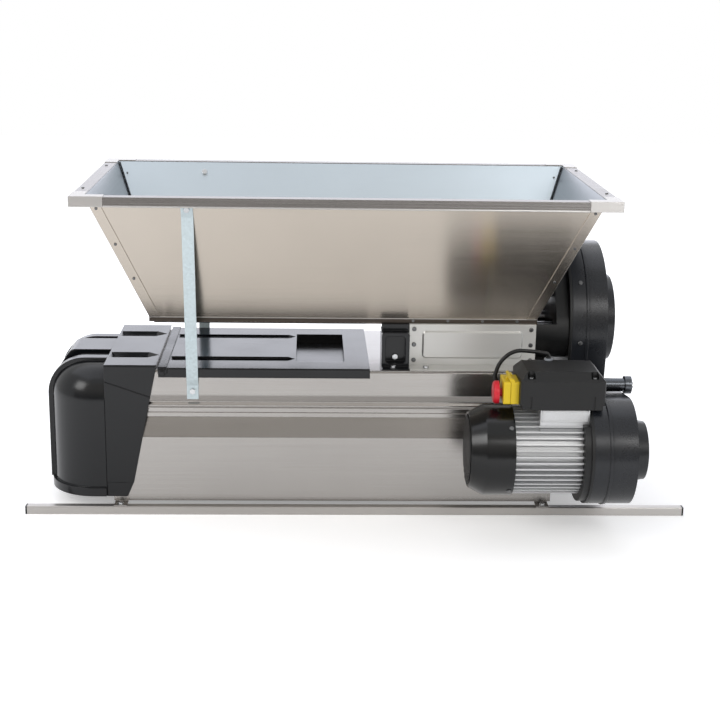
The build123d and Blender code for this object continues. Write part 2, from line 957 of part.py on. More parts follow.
# Hopper: four sloping walls, a folded rim with corner caps, and a neck that stands on the roller box
front_wall = Plane(
    origin=(hopper_middle, mid_y - neck_half, neck_top),
    x_dir=(1, 0, 0),
    z_dir=(0, -wall_rise, -wall_flare),
)
rear_wall = Plane(
    origin=(hopper_middle, mid_y + neck_half, neck_top),
    x_dir=(-1, 0, 0),
    z_dir=(0, wall_rise, -wall_flare),
)
left_wall = Plane(
    origin=(neck_left, mid_y, neck_top), x_dir=(0, -1, 0), z_dir=(-wall_rise, 0, -end_flare)
)
right_wall = Plane(
    origin=(neck_right, mid_y, neck_top), x_dir=(0, 1, 0), z_dir=(wall_rise, 0, -end_flare)
)


def on_wall(wall, x, y, lift):
    """Plane parallel to a hopper wall, at a place on it, lifted off its inner face."""
    return Plane(origin=wall.from_local_coords((x, y, lift)), x_dir=wall.x_dir, z_dir=wall.z_dir)


strut_tab_top = wall_slant - strut_top_gap
strut_bolt_slant = strut_tab_top - strut_top_inset
strut_top_seats = []
strip_rivet_seats = []
for wall, strut_place in ((front_wall, strut_x - hopper_middle), (rear_wall, hopper_middle - strut_x)):
    inside = on_wall(wall, strut_place, strut_bolt_slant, 0)
    strut_top_seats.append(Plane(origin=inside.origin, x_dir=inside.x_dir, z_dir=-inside.z_dir))
    for end in (-1, 1):
        for rivet in range(strip_rivets):
            share = strip_rivet_low + rivet * strip_rivet_step
            rivet_x = end * (neck_length / 2 + end_flare * share - corner_strip / 2)
            strip_rivet_seats.append(on_wall(wall, rivet_x, wall_slant * share, 2 * sheet))

rim_rivet_seats = []
rim_rivet_x = rim_length / 2 - rim_rivet_inset
for end in (-1, 1):
    for _, sign in SIDES:
        rim_rivet_seats.append(seat(hopper_middle + end * rim_rivet_x, sign * rim_rivet_y, rim_top, UP))

neck_rivet_seats = []
for rivet in range(neck_rivets):
    rivet_x = box_left + neck_rivet_inset + rivet * neck_rivet_pitch
    for _, sign in SIDES:
        rivet_y = sign * (neck_half + sheet)
        neck_rivet_seats.append(seat(rivet_x, rivet_y, neck_top - neck_height / 2, (0, sign, 0)))

for node, wall, foot_half, flare, slant in (
    ("hopper_front_panel", front_wall, neck_length / 2, end_flare, wall_slant),
    ("hopper_rear_panel", rear_wall, neck_length / 2, end_flare, wall_slant),
    ("hopper_left_end", left_wall, neck_half, wall_flare, end_slant),
    ("hopper_right_end", right_wall, neck_half, wall_flare, end_slant),
):
    with BuildPart() as hopper_wall:
        with BuildSketch(wall):
            with BuildLine():
                Polyline(
                    (-foot_half, 0), (foot_half, 0), (foot_half + flare, slant), (-foot_half - flare, slant),
                    close=True,
                )
            make_face()
        extrude(amount=sheet)
        if wall in (front_wall, rear_wall):
            drill(strip_rivet_seats, 3 * sheet, rivet_shank + bolt_fit)
            drill([place.offset(sheet) for place in strut_top_seats], 3 * sheet)
        if wall is right_wall:
            with BuildSketch(across.offset(neck_right - neck_length / 2)):
                with Locations(screw_axis):
                    Circle(screw_shaft_radius + shaft_room)
            extrude(amount=neck_length, mode=Mode.SUBTRACT)
    finish(hopper_wall, node)

with BuildPart() as hopper_rim:
    with BuildSketch(plan.offset(rim_top)):
        with Locations((hopper_middle, 0)):
            Rectangle(rim_length, rim_width)
            Rectangle(rim_length - 2 * rim_flange, rim_width - 2 * rim_flange, mode=Mode.SUBTRACT)
    extrude(amount=-sheet)
    with BuildSketch(plan.offset(rim_top)):
        with Locations((hopper_middle, 0)):
            Rectangle(rim_length, rim_width)
            Rectangle(rim_length - 2 * sheet, rim_width - 2 * sheet, mode=Mode.SUBTRACT)
    extrude(amount=-rim_lip)
    drill(rim_rivet_seats, 2 * sheet, rivet_shank + bolt_fit)
finish(hopper_rim, "hopper_rim")

with BuildPart() as rim_corner_caps:
    with BuildSketch(plan.offset(rim_top - rim_lip)):
        with Locations((hopper_middle, 0)):
            Rectangle(rim_length + 2 * cap_proud, rim_width + 2 * cap_proud)
            Rectangle(rim_length - 2 * rim_flange, rim_width - 2 * rim_flange, mode=Mode.SUBTRACT)
            Rectangle(rim_length - 2 * cap_length, 2 * rim_width, mode=Mode.SUBTRACT)
            Rectangle(2 * rim_length, rim_width - 2 * cap_length, mode=Mode.SUBTRACT)
    extrude(amount=rim_lip + cap_proud)
    with BuildSketch(plan.offset(rim_top)):
        with Locations((hopper_middle, 0)):
            Rectangle(rim_length, rim_width)
    extrude(amount=-rim_lip, mode=Mode.SUBTRACT)
finish(rim_corner_caps, "rim_corner_caps")

wall_dip = sheet * max(wall_flare / wall_slant, end_flare / end_slant)
with BuildPart() as hopper_neck:
    with BuildSketch(plan.offset(neck_bottom)):
        with Locations((hopper_middle, 0)):
            Rectangle(neck_length + 2 * sheet, neck_width + 2 * sheet)
            Rectangle(neck_length, neck_width, mode=Mode.SUBTRACT)
    extrude(amount=neck_height - wall_dip)
    drill(neck_rivet_seats, 2 * sheet, rivet_shank + bolt_fit)
finish(hopper_neck, "hopper_neck")

with BuildPart() as corner_strips:
    for wall in (front_wall, rear_wall):
        for end in (-1, 1):
            with BuildSketch(wall.offset(sheet)):
                with BuildLine():
                    low = end * (neck_length / 2 + end_flare * sheet / wall_slant)
                    high = end * (neck_length / 2 + end_flare)
                    Polyline(
                        (low, sheet), (high, wall_slant), (high - end * corner_strip, wall_slant),
                        (low - end * corner_strip, sheet), close=True,
                    )
                make_face()
            extrude(amount=sheet)
    drill(strip_rivet_seats, 2 * sheet, rivet_shank + bolt_fit)
finish(corner_strips, "hopper_corner_strips")

with BuildPart() as hopper_rivets:
    with Locations(*strip_rivet_seats):
        RoundHead(rivet_head, rivet_height, rivet_shank, 2 * sheet + rivet_tail)
    with Locations(*rim_rivet_seats, *neck_rivet_seats):
        RoundHead(rivet_head, rivet_height, rivet_shank, sheet + rivet_tail)
finish(hopper_rivets, "hopper_rivets")

trough_edge = neck_half - sheet / 2
with BuildPart() as hopper_trough:
    with BuildSketch(across.offset(neck_left)):
        with BuildLine() as trough_line:
            Polyline(
                (-trough_edge, neck_bottom + trough_lip), (-trough_edge, neck_bottom),
                (-trough_flank, trough_flank_z),
            )
            ThreePointArc(
                (-trough_flank, trough_flank_z), (0, trough_bottom_z), (trough_flank, trough_flank_z)
            )
            Polyline(
                (trough_flank, trough_flank_z), (trough_edge, neck_bottom),
                (trough_edge, neck_bottom + trough_lip),
            )
        trace(line_width=sheet)
    extrude(amount=box_left - neck_left)
    with BuildSketch(across.offset(neck_left)):
        with BuildLine():
            add(trough_line.line)
            Line((-trough_edge, neck_bottom + trough_lip), (trough_edge, neck_bottom + trough_lip))
        make_face()
    extrude(amount=sheet)
finish(hopper_trough, "hopper_trough")

# Struts: flat galvanised bars with a tab on the hopper and a tab on the body
tab_low = strut_tab_top - strut_tab
strut_lift = sheet + strut_thickness / 2
wall_up = Vector(wall_flare, wall_rise).normalized()
wall_out = Vector(wall_rise, -wall_flare).normalized()
tab_points = []
for slant in (strut_tab_top, tab_low):
    tab_points.append(Vector(neck_half, neck_top) + wall_up * slant + wall_out * strut_lift)

with BuildPart() as struts:
    with BuildSketch(across.offset(strut_x - strut_width / 2)):
        with BuildLine():
            shin = body_half + strut_thickness / 2
            knee = lid_half + strut_clear + strut_thickness / 2
            FilletPolyline(
                (tab_points[0].X, tab_points[0].Y), (tab_points[1].X, tab_points[1].Y),
                (knee, strut_knee_z), (shin, strut_foot_top), (shin, strut_foot_bottom), radius=strut_bend,
            )
        trace(line_width=strut_thickness)
        mirror(about=Plane.YZ)
    extrude(amount=strut_width)
    drill(strut_low_seats, 2 * strut_thickness)
    drill(strut_top_seats, sheet + 2 * strut_thickness)
finish(struts, "hopper_struts")


# Crusher: the box under the hopper's right end, two fluted rollers and their bushes
roller_left = box_left + sheet + bush_length + roller_end_gap
roller_right = box_right - sheet - roller_end_gap
panel_low = deck + box_foot_thickness
panel_middle_z = (panel_low + box_top) / 2
panel_height = box_top - panel_low
panel_screw_seats = []
for screw_x in (box_left + panel_screw_inset, box_right - panel_screw_inset):
    for screw_place in (panel_low + panel_screw_inset, panel_middle_z, box_top - panel_screw_inset):
        for _, sign in SIDES:
            screw_face = sign * (box_half + sheet)
            panel_screw_seats.append(seat(screw_x, screw_face, screw_place, (0, sign, 0)))

with BuildPart() as roller_box:
    with BuildSketch(plan.offset(deck)):
        with Locations(((box_left + box_right) / 2, 0)):
            Rectangle(box_right - box_left, 2 * box_half)
            Rectangle(box_right - box_left - 2 * sheet, 2 * (box_half - sheet), mode=Mode.SUBTRACT)
    extrude(amount=box_top - deck)
    with BuildSketch(plan.offset(box_top)):
        with Locations(((box_left + box_right) / 2, 0)):
            Rectangle(box_right - box_left, 2 * box_half)
            Rectangle(box_right - box_left, 2 * box_mouth_half, mode=Mode.SUBTRACT)
    extrude(amount=-sheet)
    with BuildSketch(plan.offset(deck)):
        with Locations(((box_left + box_right) / 2, 0)):
            Rectangle(box_right - box_left, 2 * (box_half + box_foot))
            Rectangle(box_right - box_left, 2 * (box_half - sheet), mode=Mode.SUBTRACT)
    extrude(amount=box_foot_thickness)
    with BuildSketch(across.offset(box_left)):
        with BuildLine():
            add(trough_line.line)
            Line((-trough_edge, neck_bottom + trough_lip), (trough_edge, neck_bottom + trough_lip))
        make_face()
    extrude(amount=2 * sheet, mode=Mode.SUBTRACT)
    with BuildSketch(across.offset(box_right)):
        with Locations(drive_axis, idle_axis):
            Circle(roller_shaft_radius + shaft_room)
    extrude(amount=-2 * sheet, mode=Mode.SUBTRACT)
    drill(box_bolt_seats, box_foot_thickness)
    drill(panel_screw_seats, 3 * sheet, screw_shank + bolt_fit)
finish(roller_box, "roller_box")

with BuildPart() as box_panels:
    for _, sign in SIDES:
        panel_middle = ((box_left + box_right) / 2, panel_middle_z)
        emboss_length = box_right - box_left - 2 * panel_margin_x
        emboss_height = panel_height - 2 * panel_margin_z
        with BuildSketch(side.offset(-sign * box_half)):
            with Locations(panel_middle):
                Rectangle(box_right - box_left, panel_height)
        extrude(amount=-sign * sheet)
        with BuildSketch(side.offset(-sign * (box_half + sheet))):
            with Locations(panel_middle):
                RectangleRounded(emboss_length, emboss_height, panel_corner)
        extrude(amount=-sign * panel_emboss, taper=emboss_draft)
    drill(panel_screw_seats, 2 * sheet, screw_shank + bolt_fit)
finish(box_panels, "roller_box_panels")


def fluted_roller(axis):
    """Crusher roller with grooves along it, bored for its shaft."""
    with BuildPart() as roller:
        with BuildSketch(across.offset(roller_left)):
            with Locations(axis):
                Circle(roller_radius)
                with PolarLocations(roller_radius + flute_lift, roller_flutes):
                    Circle(flute_radius, mode=Mode.SUBTRACT)
                Circle(roller_shaft_radius + keyed_fit, mode=Mode.SUBTRACT)
        extrude(amount=roller_right - roller_left)
    return roller


finish(fluted_roller(drive_axis), "drive_roller")
finish(fluted_roller(idle_axis), "idle_roller")

pair_x = gear_cover_left + gear_cover_wall + gear_side_gap
screw_pair_x = pair_x + gear_width + gear_side_gap
drive_gear_x = plate_right + gear_side_gap
shaft_start = box_left + sheet + free_gap
idle_shaft_end = pair_x + gear_width
drive_shaft_end = drive_gear_x + drive_gear_width + shaft_stub
pair_module = roller_spacing / roller_gear_teeth
screw_pair_distance = math.hypot(screw_axis[0] - drive_axis[0], screw_axis[1] - drive_axis[1])
screw_module = 2 * screw_pair_distance / (screw_pinion_teeth + screw_gear_teeth)
drive_distance = math.hypot(drive_axis[0] - beater_axis[0], drive_axis[1] - beater_axis[1])
drive_module = 2 * drive_distance / (pinion_teeth + drive_gear_teeth)


def round_bar(axis, start, end, radius):
    """Plain round shaft along the machine."""
    with BuildPart() as bar:
        with BuildSketch(across.offset(start)):
            with Locations(axis):
                Circle(radius)
        extrude(amount=end - start)
    return bar


finish(round_bar(drive_axis, shaft_start, drive_shaft_end, roller_shaft_radius), "drive_roller_shaft")
idle_bar = round_bar(idle_axis, shaft_start, idle_shaft_end, roller_shaft_radius)

to_drive = direction(idle_axis, drive_axis)
to_idle = direction(drive_axis, idle_axis)
to_screw = direction(drive_axis, screw_axis)
from_screw = direction(screw_axis, drive_axis)
to_drive_gear = direction(beater_axis, drive_axis)
from_drive_gear = direction(drive_axis, beater_axis)
pair_gear = spur_gear(
    drive_axis, pair_x, gear_width, roller_gear_teeth, pair_module, to_idle, roller_shaft_radius
)
idle_gear = spur_gear(
    idle_axis, pair_x, gear_width, roller_gear_teeth, pair_module,
    to_drive + 180 / roller_gear_teeth, roller_shaft_radius,
)
screw_pinion = spur_gear(
    drive_axis, screw_pair_x, gear_width, screw_pinion_teeth, screw_module, to_screw, roller_shaft_radius
)
screw_gear = spur_gear(
    screw_axis, screw_pair_x, gear_width, screw_gear_teeth, screw_module,
    from_screw + 180 / screw_gear_teeth, screw_shaft_radius,
)
drive_gear = spur_gear(
    drive_axis, drive_gear_x, drive_gear_width, drive_gear_teeth, drive_module,
    from_drive_gear + 180 / drive_gear_teeth, roller_shaft_radius,
)
beater_pinion = spur_gear(
    beater_axis, drive_gear_x, drive_gear_width, pinion_teeth, drive_module, to_drive_gear, shaft_radius
)

with BuildPart() as drive_shaft_gears:
    add([pair_gear.part, screw_pinion.part, drive_gear.part])
finish(drive_shaft_gears, "drive_shaft_gears")
with BuildPart() as idle_shaft_and_gear:
    add([idle_bar.part, idle_gear.part])
finish(idle_shaft_and_gear, "idle_shaft_and_gear")
finish(screw_gear, "screw_gear")

with BuildPart() as roller_bushes:
    for start in (box_left + sheet, box_right):
        with BuildSketch(across.offset(start)):
            with Locations(drive_axis, idle_axis):
                Circle(bush_radius)
                Circle(roller_shaft_radius + shaft_fit, mode=Mode.SUBTRACT)
        extrude(amount=bush_length)
finish(roller_bushes, "roller_bushes")

bracket_middle = (bracket_left + box_left) / 2
bracket_front = box_half + bracket_proud
bracket_seat = seat(bracket_middle, bracket_recess - bracket_front, deck + bracket_bolt_rise, FRONT)
with BuildPart() as adjuster_bracket:
    with BuildSketch(side.offset(bracket_front)) as bracket_face:
        with Locations((bracket_middle, deck)):
            Rectangle(bracket_length, bracket_step_z - deck, align=(Align.CENTER, Align.MIN))
        fillet(bracket_face.vertices().group_by(Axis.Y)[-1], bracket_round)
    extrude(amount=-bracket_depth)
    with BuildSketch(side.offset(box_half)):
        with Locations((bracket_middle, bracket_step_z - bracket_round)):
            shoulder_height = box_top - bracket_step_z + bracket_round
            Rectangle(bracket_length, shoulder_height, align=(Align.CENTER, Align.MIN))
    extrude(amount=neck_half + sheet + free_gap - box_half)
    with BuildSketch(plan.offset(deck)):
        with Locations((bracket_middle, -bracket_front)):
            Rectangle(bracket_length, box_foot - bracket_proud, align=(Align.CENTER, Align.MAX))
    extrude(amount=box_foot_thickness)
    with BuildSketch(side.offset(bracket_front)):
        with Locations((bracket_middle, (deck + bracket_step_z) / 2)):
            window = bracket_length - 2 * bracket_wall
            RectangleRounded(window, bracket_step_z - deck - 2 * bracket_wall, bracket_wall)
    extrude(amount=-bracket_recess, mode=Mode.SUBTRACT)
    drill([bracket_seat], bracket_depth / 4)
    drill([bracket_foot_seat], box_foot_thickness)
finish(adjuster_bracket, "adjuster_bracket")


# Feed screw: one helical flight on a shaft, from a pedestal in the trough to the transmission plate
pedestal_x = neck_left + sheet
flight_left = pedestal_x + pedestal_thickness + screw_start_gap
flight_length = box_left - screw_end_gap - flight_left
flight_centre = (flight_left, mid_y, screw_z)
flight_root = screw_shaft_radius - screw_weld
flight_middle = (screw_radius + flight_root) / 2
with BuildPart() as feed_screw:
    with BuildSketch(across.offset(pedestal_x)):
        with Locations(screw_axis):
            Circle(screw_shaft_radius)
    extrude(amount=plate_right - pedestal_x)
    with BuildLine():
        flight_path = Helix(
            screw_pitch, flight_length, flight_middle, center=flight_centre, direction=RIGHT
        )
    flight_out = flight_path @ 0 - Vector(flight_centre)
    with BuildSketch(Plane(origin=flight_path @ 0, x_dir=flight_out, z_dir=flight_path % 0)):
        Rectangle(screw_radius - flight_root, screw_thickness)
    sweep(path=flight_path, is_frenet=True)
finish(feed_screw, "feed_screw")

with BuildPart() as screw_pedestal:
    with BuildSketch(across.offset(pedestal_x)):
        with Locations((0, trough_flank_z)):
            pedestal_height = screw_z + pedestal_top - trough_flank_z
            Rectangle(2 * pedestal_half, pedestal_height, align=(Align.CENTER, Align.MIN))
        with Locations(screw_axis):
            Circle(screw_shaft_radius + shaft_fit, mode=Mode.SUBTRACT)
    extrude(amount=pedestal_thickness)
    fillet(screw_pedestal.edges().filter_by(Axis.X).group_by(Axis.Z)[-1], pedestal_top / 2)
finish(screw_pedestal, "screw_pedestal")


# Transmission: plate, gear cover, belt and the guard in two halves
def casing(rounds, inset):
    """Outline stretched around several circles, given as axis and radius, and drawn in by the inset."""
    with BuildSketch() as outline:
        for axis, radius in rounds:
            with Locations(axis):
                Circle(radius - inset)
        make_hull()
    return outline.sketch


belt_rounds = ((motor_axis, guard_small_radius), (beater_axis, guard_rear_radius))
disc_rounds = ((beater_axis, guard_rear_radius), (drive_axis, guard_disc_radius))
pair_tip = roller_spacing / 2 + pair_module
screw_gear_tip = screw_gear_teeth * screw_module / 2 + screw_module
cover_rounds = (
    (drive_axis, pair_tip + gear_cover_room),
    (idle_axis, pair_tip + gear_cover_room),
    (screw_axis, screw_gear_tip + gear_cover_room),
)
spacer_places = []
for _, sign in SIDES:
    spacer_places.append((sign * spacer_out, drum_z + spacer_rise))
    spacer_places.append((sign * spacer_out, drum_z - spacer_rise))

with BuildPart() as transmission_plate:
    with BuildSketch(across.offset(plate_left)):
        add(casing(belt_rounds, 0))
        add(casing(disc_rounds, 0))
        add(casing(((rod_axis, rod_radius + rod_margin), ((-rod_out, motor_z), rod_radius)), 0))
        with Locations(motor_axis):
            Circle(shield_spigot, mode=Mode.SUBTRACT)
        with Locations(beater_axis):
            Circle(shaft_radius + shaft_room, mode=Mode.SUBTRACT)
        with Locations(drive_axis):
            Circle(roller_shaft_radius + shaft_room, mode=Mode.SUBTRACT)
        with Locations(screw_axis):
            Circle(screw_shaft_radius + shaft_fit, mode=Mode.SUBTRACT)
    extrude(amount=plate_thickness)
    with BuildSketch(across.offset(flange_left)):
        with Locations(motor_axis):
            Circle(flange_radius)
            Circle(shield_spigot, mode=Mode.SUBTRACT)
        with Locations((-motor_out, flange_flat_z)):
            Rectangle(2 * flange_radius, flange_radius, align=(Align.CENTER, Align.MIN), mode=Mode.SUBTRACT)
    extrude(amount=plate_left - flange_left)
finish(transmission_plate, "transmission_plate")

with BuildPart() as plate_spacers:
    with BuildSketch(across.offset(body_right)):
        with Locations(*spacer_places):
            Circle(spacer_radius)
    extrude(amount=plate_left - body_right)
    with BuildSketch(across.offset(plate_right)):
        with Locations(rod_axis):
            Circle(rod_radius)
    extrude(amount=rod_right - plate_right)
    with BuildSketch(across.offset(rod_right)):
        with Locations(rod_axis):
            Circle(rod_nut_radius)
    extrude(amount=rod_nut_length)
finish(plate_spacers, "spacers_and_tie_rod")

with BuildPart() as gear_cover:
    with BuildSketch(across.offset(gear_cover_left)):
        add(casing(cover_rounds, 0))
    extrude(amount=plate_left - gear_cover_left)
    with BuildSketch(across.offset(gear_cover_left + gear_cover_wall)):
        add(casing(cover_rounds, gear_cover_wall))
    extrude(amount=plate_left - gear_cover_left, mode=Mode.SUBTRACT)
    with BuildSketch(across.offset(gear_cover_left)):
        with Locations(drive_axis, idle_axis, screw_axis):
            Circle(roller_shaft_radius + shaft_room)
    extrude(amount=gear_cover_wall, mode=Mode.SUBTRACT)
    with BuildSketch(across.offset(gear_nose_left)):
        add(casing(cover_rounds, 0))
        add(casing(cover_rounds, gear_cover_wall), mode=Mode.SUBTRACT)
        with Locations((0, gear_nose_top)):
            Rectangle(2 * neck_width, neck_width, align=(Align.CENTER, Align.MIN), mode=Mode.SUBTRACT)
    extrude(amount=gear_cover_left - gear_nose_left)
finish(gear_cover, "gear_cover")

guard_screw_seats = []
for screw_angle in guard_screw_angles:
    outward = (0, math.cos(math.radians(screw_angle)), math.sin(math.radians(screw_angle)))
    guard_screw_seats.append(
        seat(
            (plate_right + guard_seam) / 2,
            drive_axis[0] + guard_disc_radius * outward[1],
            drive_axis[1] + guard_disc_radius * outward[2],
            outward,
        )
    )

with BuildPart() as guard_inner:
    with BuildSketch(across.offset(plate_right)):
        add(casing(belt_rounds, 0))
        add(casing(disc_rounds, 0))
    extrude(amount=guard_seam - plate_right)
    with BuildSketch(across.offset(guard_seam - guard_rim_width)):
        add(casing(belt_rounds, -guard_rim_bead))
        add(casing(disc_rounds, -guard_rim_bead))
    extrude(amount=guard_rim_width)
    with BuildSketch(across.offset(plate_right)):
        add(casing(belt_rounds, guard_wall))
        add(casing(disc_rounds, guard_wall))
    extrude(amount=guard_seam - plate_right, mode=Mode.SUBTRACT)
    drill(guard_screw_seats, 2 * guard_wall, screw_shank + bolt_fit)
finish(guard_inner, "guard_inner_half")

guard_caps = (
    (motor_axis, motor_cap_radius, guard_belt_face, motor_cap_height),
    (drive_axis, disc_cap_radius, guard_disc_face, disc_cap_height),
)
with BuildPart() as guard_outer:
    for rounds, face_x in ((belt_rounds, guard_belt_face), (disc_rounds, guard_disc_face)):
        with BuildSketch(across.offset(guard_seam)):
            add(casing(rounds, 0))
        extrude(amount=face_x - guard_seam)
    for axis, radius, face_x, height in guard_caps:
        with BuildSketch(across.offset(face_x)):
            with Locations(axis):
                Circle(radius)
        extrude(amount=height, taper=cap_draft)
    for rounds, face_x in ((belt_rounds, guard_belt_face), (disc_rounds, guard_disc_face)):
        with BuildSketch(across.offset(guard_seam)):
            add(casing(rounds, guard_wall))
        extrude(amount=face_x - guard_wall - guard_seam, mode=Mode.SUBTRACT)
    for axis, radius, face_x, height in guard_caps:
        with BuildSketch(across.offset(face_x - guard_wall)):
            with Locations(axis):
                Circle(radius - guard_wall)
        extrude(amount=height, taper=cap_draft, mode=Mode.SUBTRACT)
finish(guard_outer, "guard_outer_half")

belt_left = belt_x - belt_width / 2
with BuildPart() as drive_belt:
    with BuildSketch(across.offset(belt_left)):
        small = motor_pulley_radius + free_gap
        large = beater_pulley_radius + free_gap
        add(casing(((motor_axis, small + belt_height), (beater_axis, large + belt_height)), 0))
        add(casing(((motor_axis, small), (beater_axis, large)), 0), mode=Mode.SUBTRACT)
    extrude(amount=belt_width)
finish(drive_belt, "drive_belt")


def belt_pulley(axis, groove_radius, bore):
    """Pulley with one groove for the belt, bored for its shaft."""
    with BuildPart() as pulley:
        with BuildSketch(across.offset(belt_x - pulley_width / 2)):
            with Locations(axis):
                Circle(groove_radius + belt_height)
        extrude(amount=pulley_width)
        with BuildSketch(across.offset(belt_left - free_gap)):
            with Locations(axis):
                Circle(groove_radius + 2 * belt_height)
                Circle(groove_radius, mode=Mode.SUBTRACT)
        extrude(amount=belt_width + 2 * free_gap, mode=Mode.SUBTRACT)
        with BuildSketch(across.offset(belt_x - pulley_width / 2)):
            with Locations(axis):
                Circle(bore + keyed_fit)
        extrude(amount=pulley_width, mode=Mode.SUBTRACT)
    return pulley


beater_pulley = belt_pulley(beater_axis, beater_pulley_radius, shaft_radius)
motor_pulley = belt_pulley(motor_axis, motor_pulley_radius, motor_shaft_radius)
with BuildPart() as beater_drive_wheels:
    add([beater_pinion.part, beater_pulley.part])
finish(beater_drive_wheels, "beater_pinion_and_pulley")


# Motor: finned housing on the transmission plate, fan cowl, rotor with its fan and pulley
cowl_right = motor_fin_left + cowl_overlap
cowl_screw_seats = []
for screw_angle in (45, 135, 225, 315):
    outward = (0, math.cos(math.radians(screw_angle)), math.sin(math.radians(screw_angle)))
    cowl_screw_seats.append(
        seat(
            motor_fin_left + cowl_overlap / 2,
            cowl_radius * outward[1] - motor_out,
            cowl_radius * outward[2] + motor_z,
            outward,
        )
    )

with BuildPart() as motor_housing:
    with BuildSketch(across.offset(motor_fin_left)):
        with Locations(motor_axis):
            Circle(motor_core_radius)
            with PolarLocations(motor_core_radius, motor_fin_count):
                Rectangle(2 * (motor_fin_radius - motor_core_radius), motor_fin_width)
    extrude(amount=flange_left - motor_fin_left)
    with BuildSketch(plan.offset(motor_z)):
        with Locations(((motor_pad_left + flange_left) / 2, -motor_out)):
            Rectangle(flange_left - motor_pad_left, 2 * motor_pad_half)
    extrude(amount=terminal_bottom - motor_z)
    with BuildSketch(plan.offset(flange_flat_z)):
        with Locations(((motor_pad_left + plate_left) / 2, -motor_out)):
            Rectangle(plate_left - motor_pad_left, 2 * motor_pad_half)
    extrude(amount=terminal_bottom - flange_flat_z)
    with BuildSketch(across.offset(motor_fin_left)):
        with Locations(motor_axis):
            Circle(motor_shaft_radius + shaft_fit)
    extrude(amount=flange_left - motor_fin_left, mode=Mode.SUBTRACT)
    drill(cowl_screw_seats, cowl_wall + cowl_screw_bite + drill_past, screw_shank + bolt_fit)
finish(motor_housing, "motor_housing")

with BuildPart() as fan_cowl:
    with BuildSketch(Plane(origin=(0, mid_y - motor_out, motor_z), x_dir=(1, 0, 0), z_dir=(0, -1, 0))):
        with BuildLine():
            Polyline(
                (cowl_left, 0), (cowl_left, cowl_face_radius), (cowl_left + cowl_taper, cowl_radius),
                (cowl_right, cowl_radius), (cowl_right, cowl_radius - cowl_wall),
                (cowl_left + cowl_taper, cowl_radius - cowl_wall),
                (cowl_left + cowl_wall, cowl_face_radius - cowl_wall), (cowl_left + cowl_wall, 0), close=True,
            )
        make_face()
    revolve(axis=Axis((0, mid_y - motor_out, motor_z), (1, 0, 0)))
    ring_pitch = (cowl_face_radius - grille_hub - grille_slot) / grille_rings
    with BuildSketch(across.offset(cowl_left)):
        with Locations(motor_axis):
            for ring in reversed(range(grille_rings)):
                inner_ring = grille_hub + ring * ring_pitch
                Circle(inner_ring + grille_slot)
                Circle(inner_ring, mode=Mode.SUBTRACT)
            for spoke in range(grille_spokes):
                turn = spoke * 180 / grille_spokes
                Rectangle(2 * cowl_radius, grille_slot, rotation=turn, mode=Mode.SUBTRACT)
    extrude(amount=cowl_wall, mode=Mode.SUBTRACT)
    drill(cowl_screw_seats, 2 * cowl_wall, screw_shank + bolt_fit)
finish(fan_cowl, "fan_cowl")

fan_left = cowl_left + cowl_wall + fan_thickness
rotor_right = belt_x + pulley_width / 2 + shaft_stub
motor_shaft = round_bar(motor_axis, fan_left, rotor_right, motor_shaft_radius)

with BuildPart() as cooling_fan:
    with BuildSketch(across.offset(fan_left + fan_blade_height)):
        with Locations(motor_axis):
            Circle(fan_radius)
    extrude(amount=fan_thickness)
    with BuildSketch(across.offset(fan_left)):
        with Locations(motor_axis):
            Circle(fan_hub_radius)
            with PolarLocations(fan_radius / 2, fan_blades):
                Rectangle(fan_radius, fan_thickness)
    extrude(amount=fan_blade_height)
    with BuildSketch(across.offset(fan_left)):
        with Locations(motor_axis):
            Circle(motor_shaft_radius + keyed_fit)
    extrude(amount=fan_blade_height + fan_thickness, mode=Mode.SUBTRACT)

with BuildPart() as motor_rotor:
    add([motor_shaft.part, cooling_fan.part, motor_pulley.part])
finish(motor_rotor, "motor_rotor")


# Terminal box on the motor, with a hinged stop lid over its start button
terminal_middle = ((terminal_left + terminal_right) / 2, -motor_out)
lid_screw_seats = []
lid_screw_places = (terminal_left + lid_screw_inset, terminal_right - lid_screw_inset)
for screw_x in lid_screw_places:
    for _, sign in SIDES:
        screw_y = sign * (terminal_half - lid_screw_side) - motor_out
        lid_screw_seats.append(seat(screw_x, screw_y, terminal_top + lid_seat_rise, UP))

with BuildPart() as terminal_box:
    with BuildSketch(plan.offset(terminal_bottom)):
        with Locations(terminal_middle):
            RectangleRounded(terminal_length, 2 * terminal_half, terminal_edge)
    extrude(amount=terminal_top - terminal_bottom)
    with BuildSketch(plan.offset(terminal_bottom + terminal_wall)):
        with Locations(terminal_middle):
            Rectangle(terminal_length - 2 * terminal_wall, 2 * (terminal_half - terminal_wall))
    extrude(amount=terminal_top - terminal_bottom, mode=Mode.SUBTRACT)
    with BuildSketch(plan.offset(terminal_bottom)):
        with Locations((terminal_middle[0], terminal_middle[1] - terminal_half)):
            apron_length = terminal_length - 2 * terminal_edge
            Rectangle(apron_length, terminal_wall, align=(Align.CENTER, Align.MIN))
    extrude(amount=-terminal_apron)
    with BuildSketch(side.offset(motor_out + terminal_half)):
        with Locations(*[(slot_x, slot_z) for slot_x in lid_screw_places]):
            Rectangle(slot_width, slot_height)
    extrude(amount=-slot_depth, mode=Mode.SUBTRACT)
finish(terminal_box, "terminal_box")

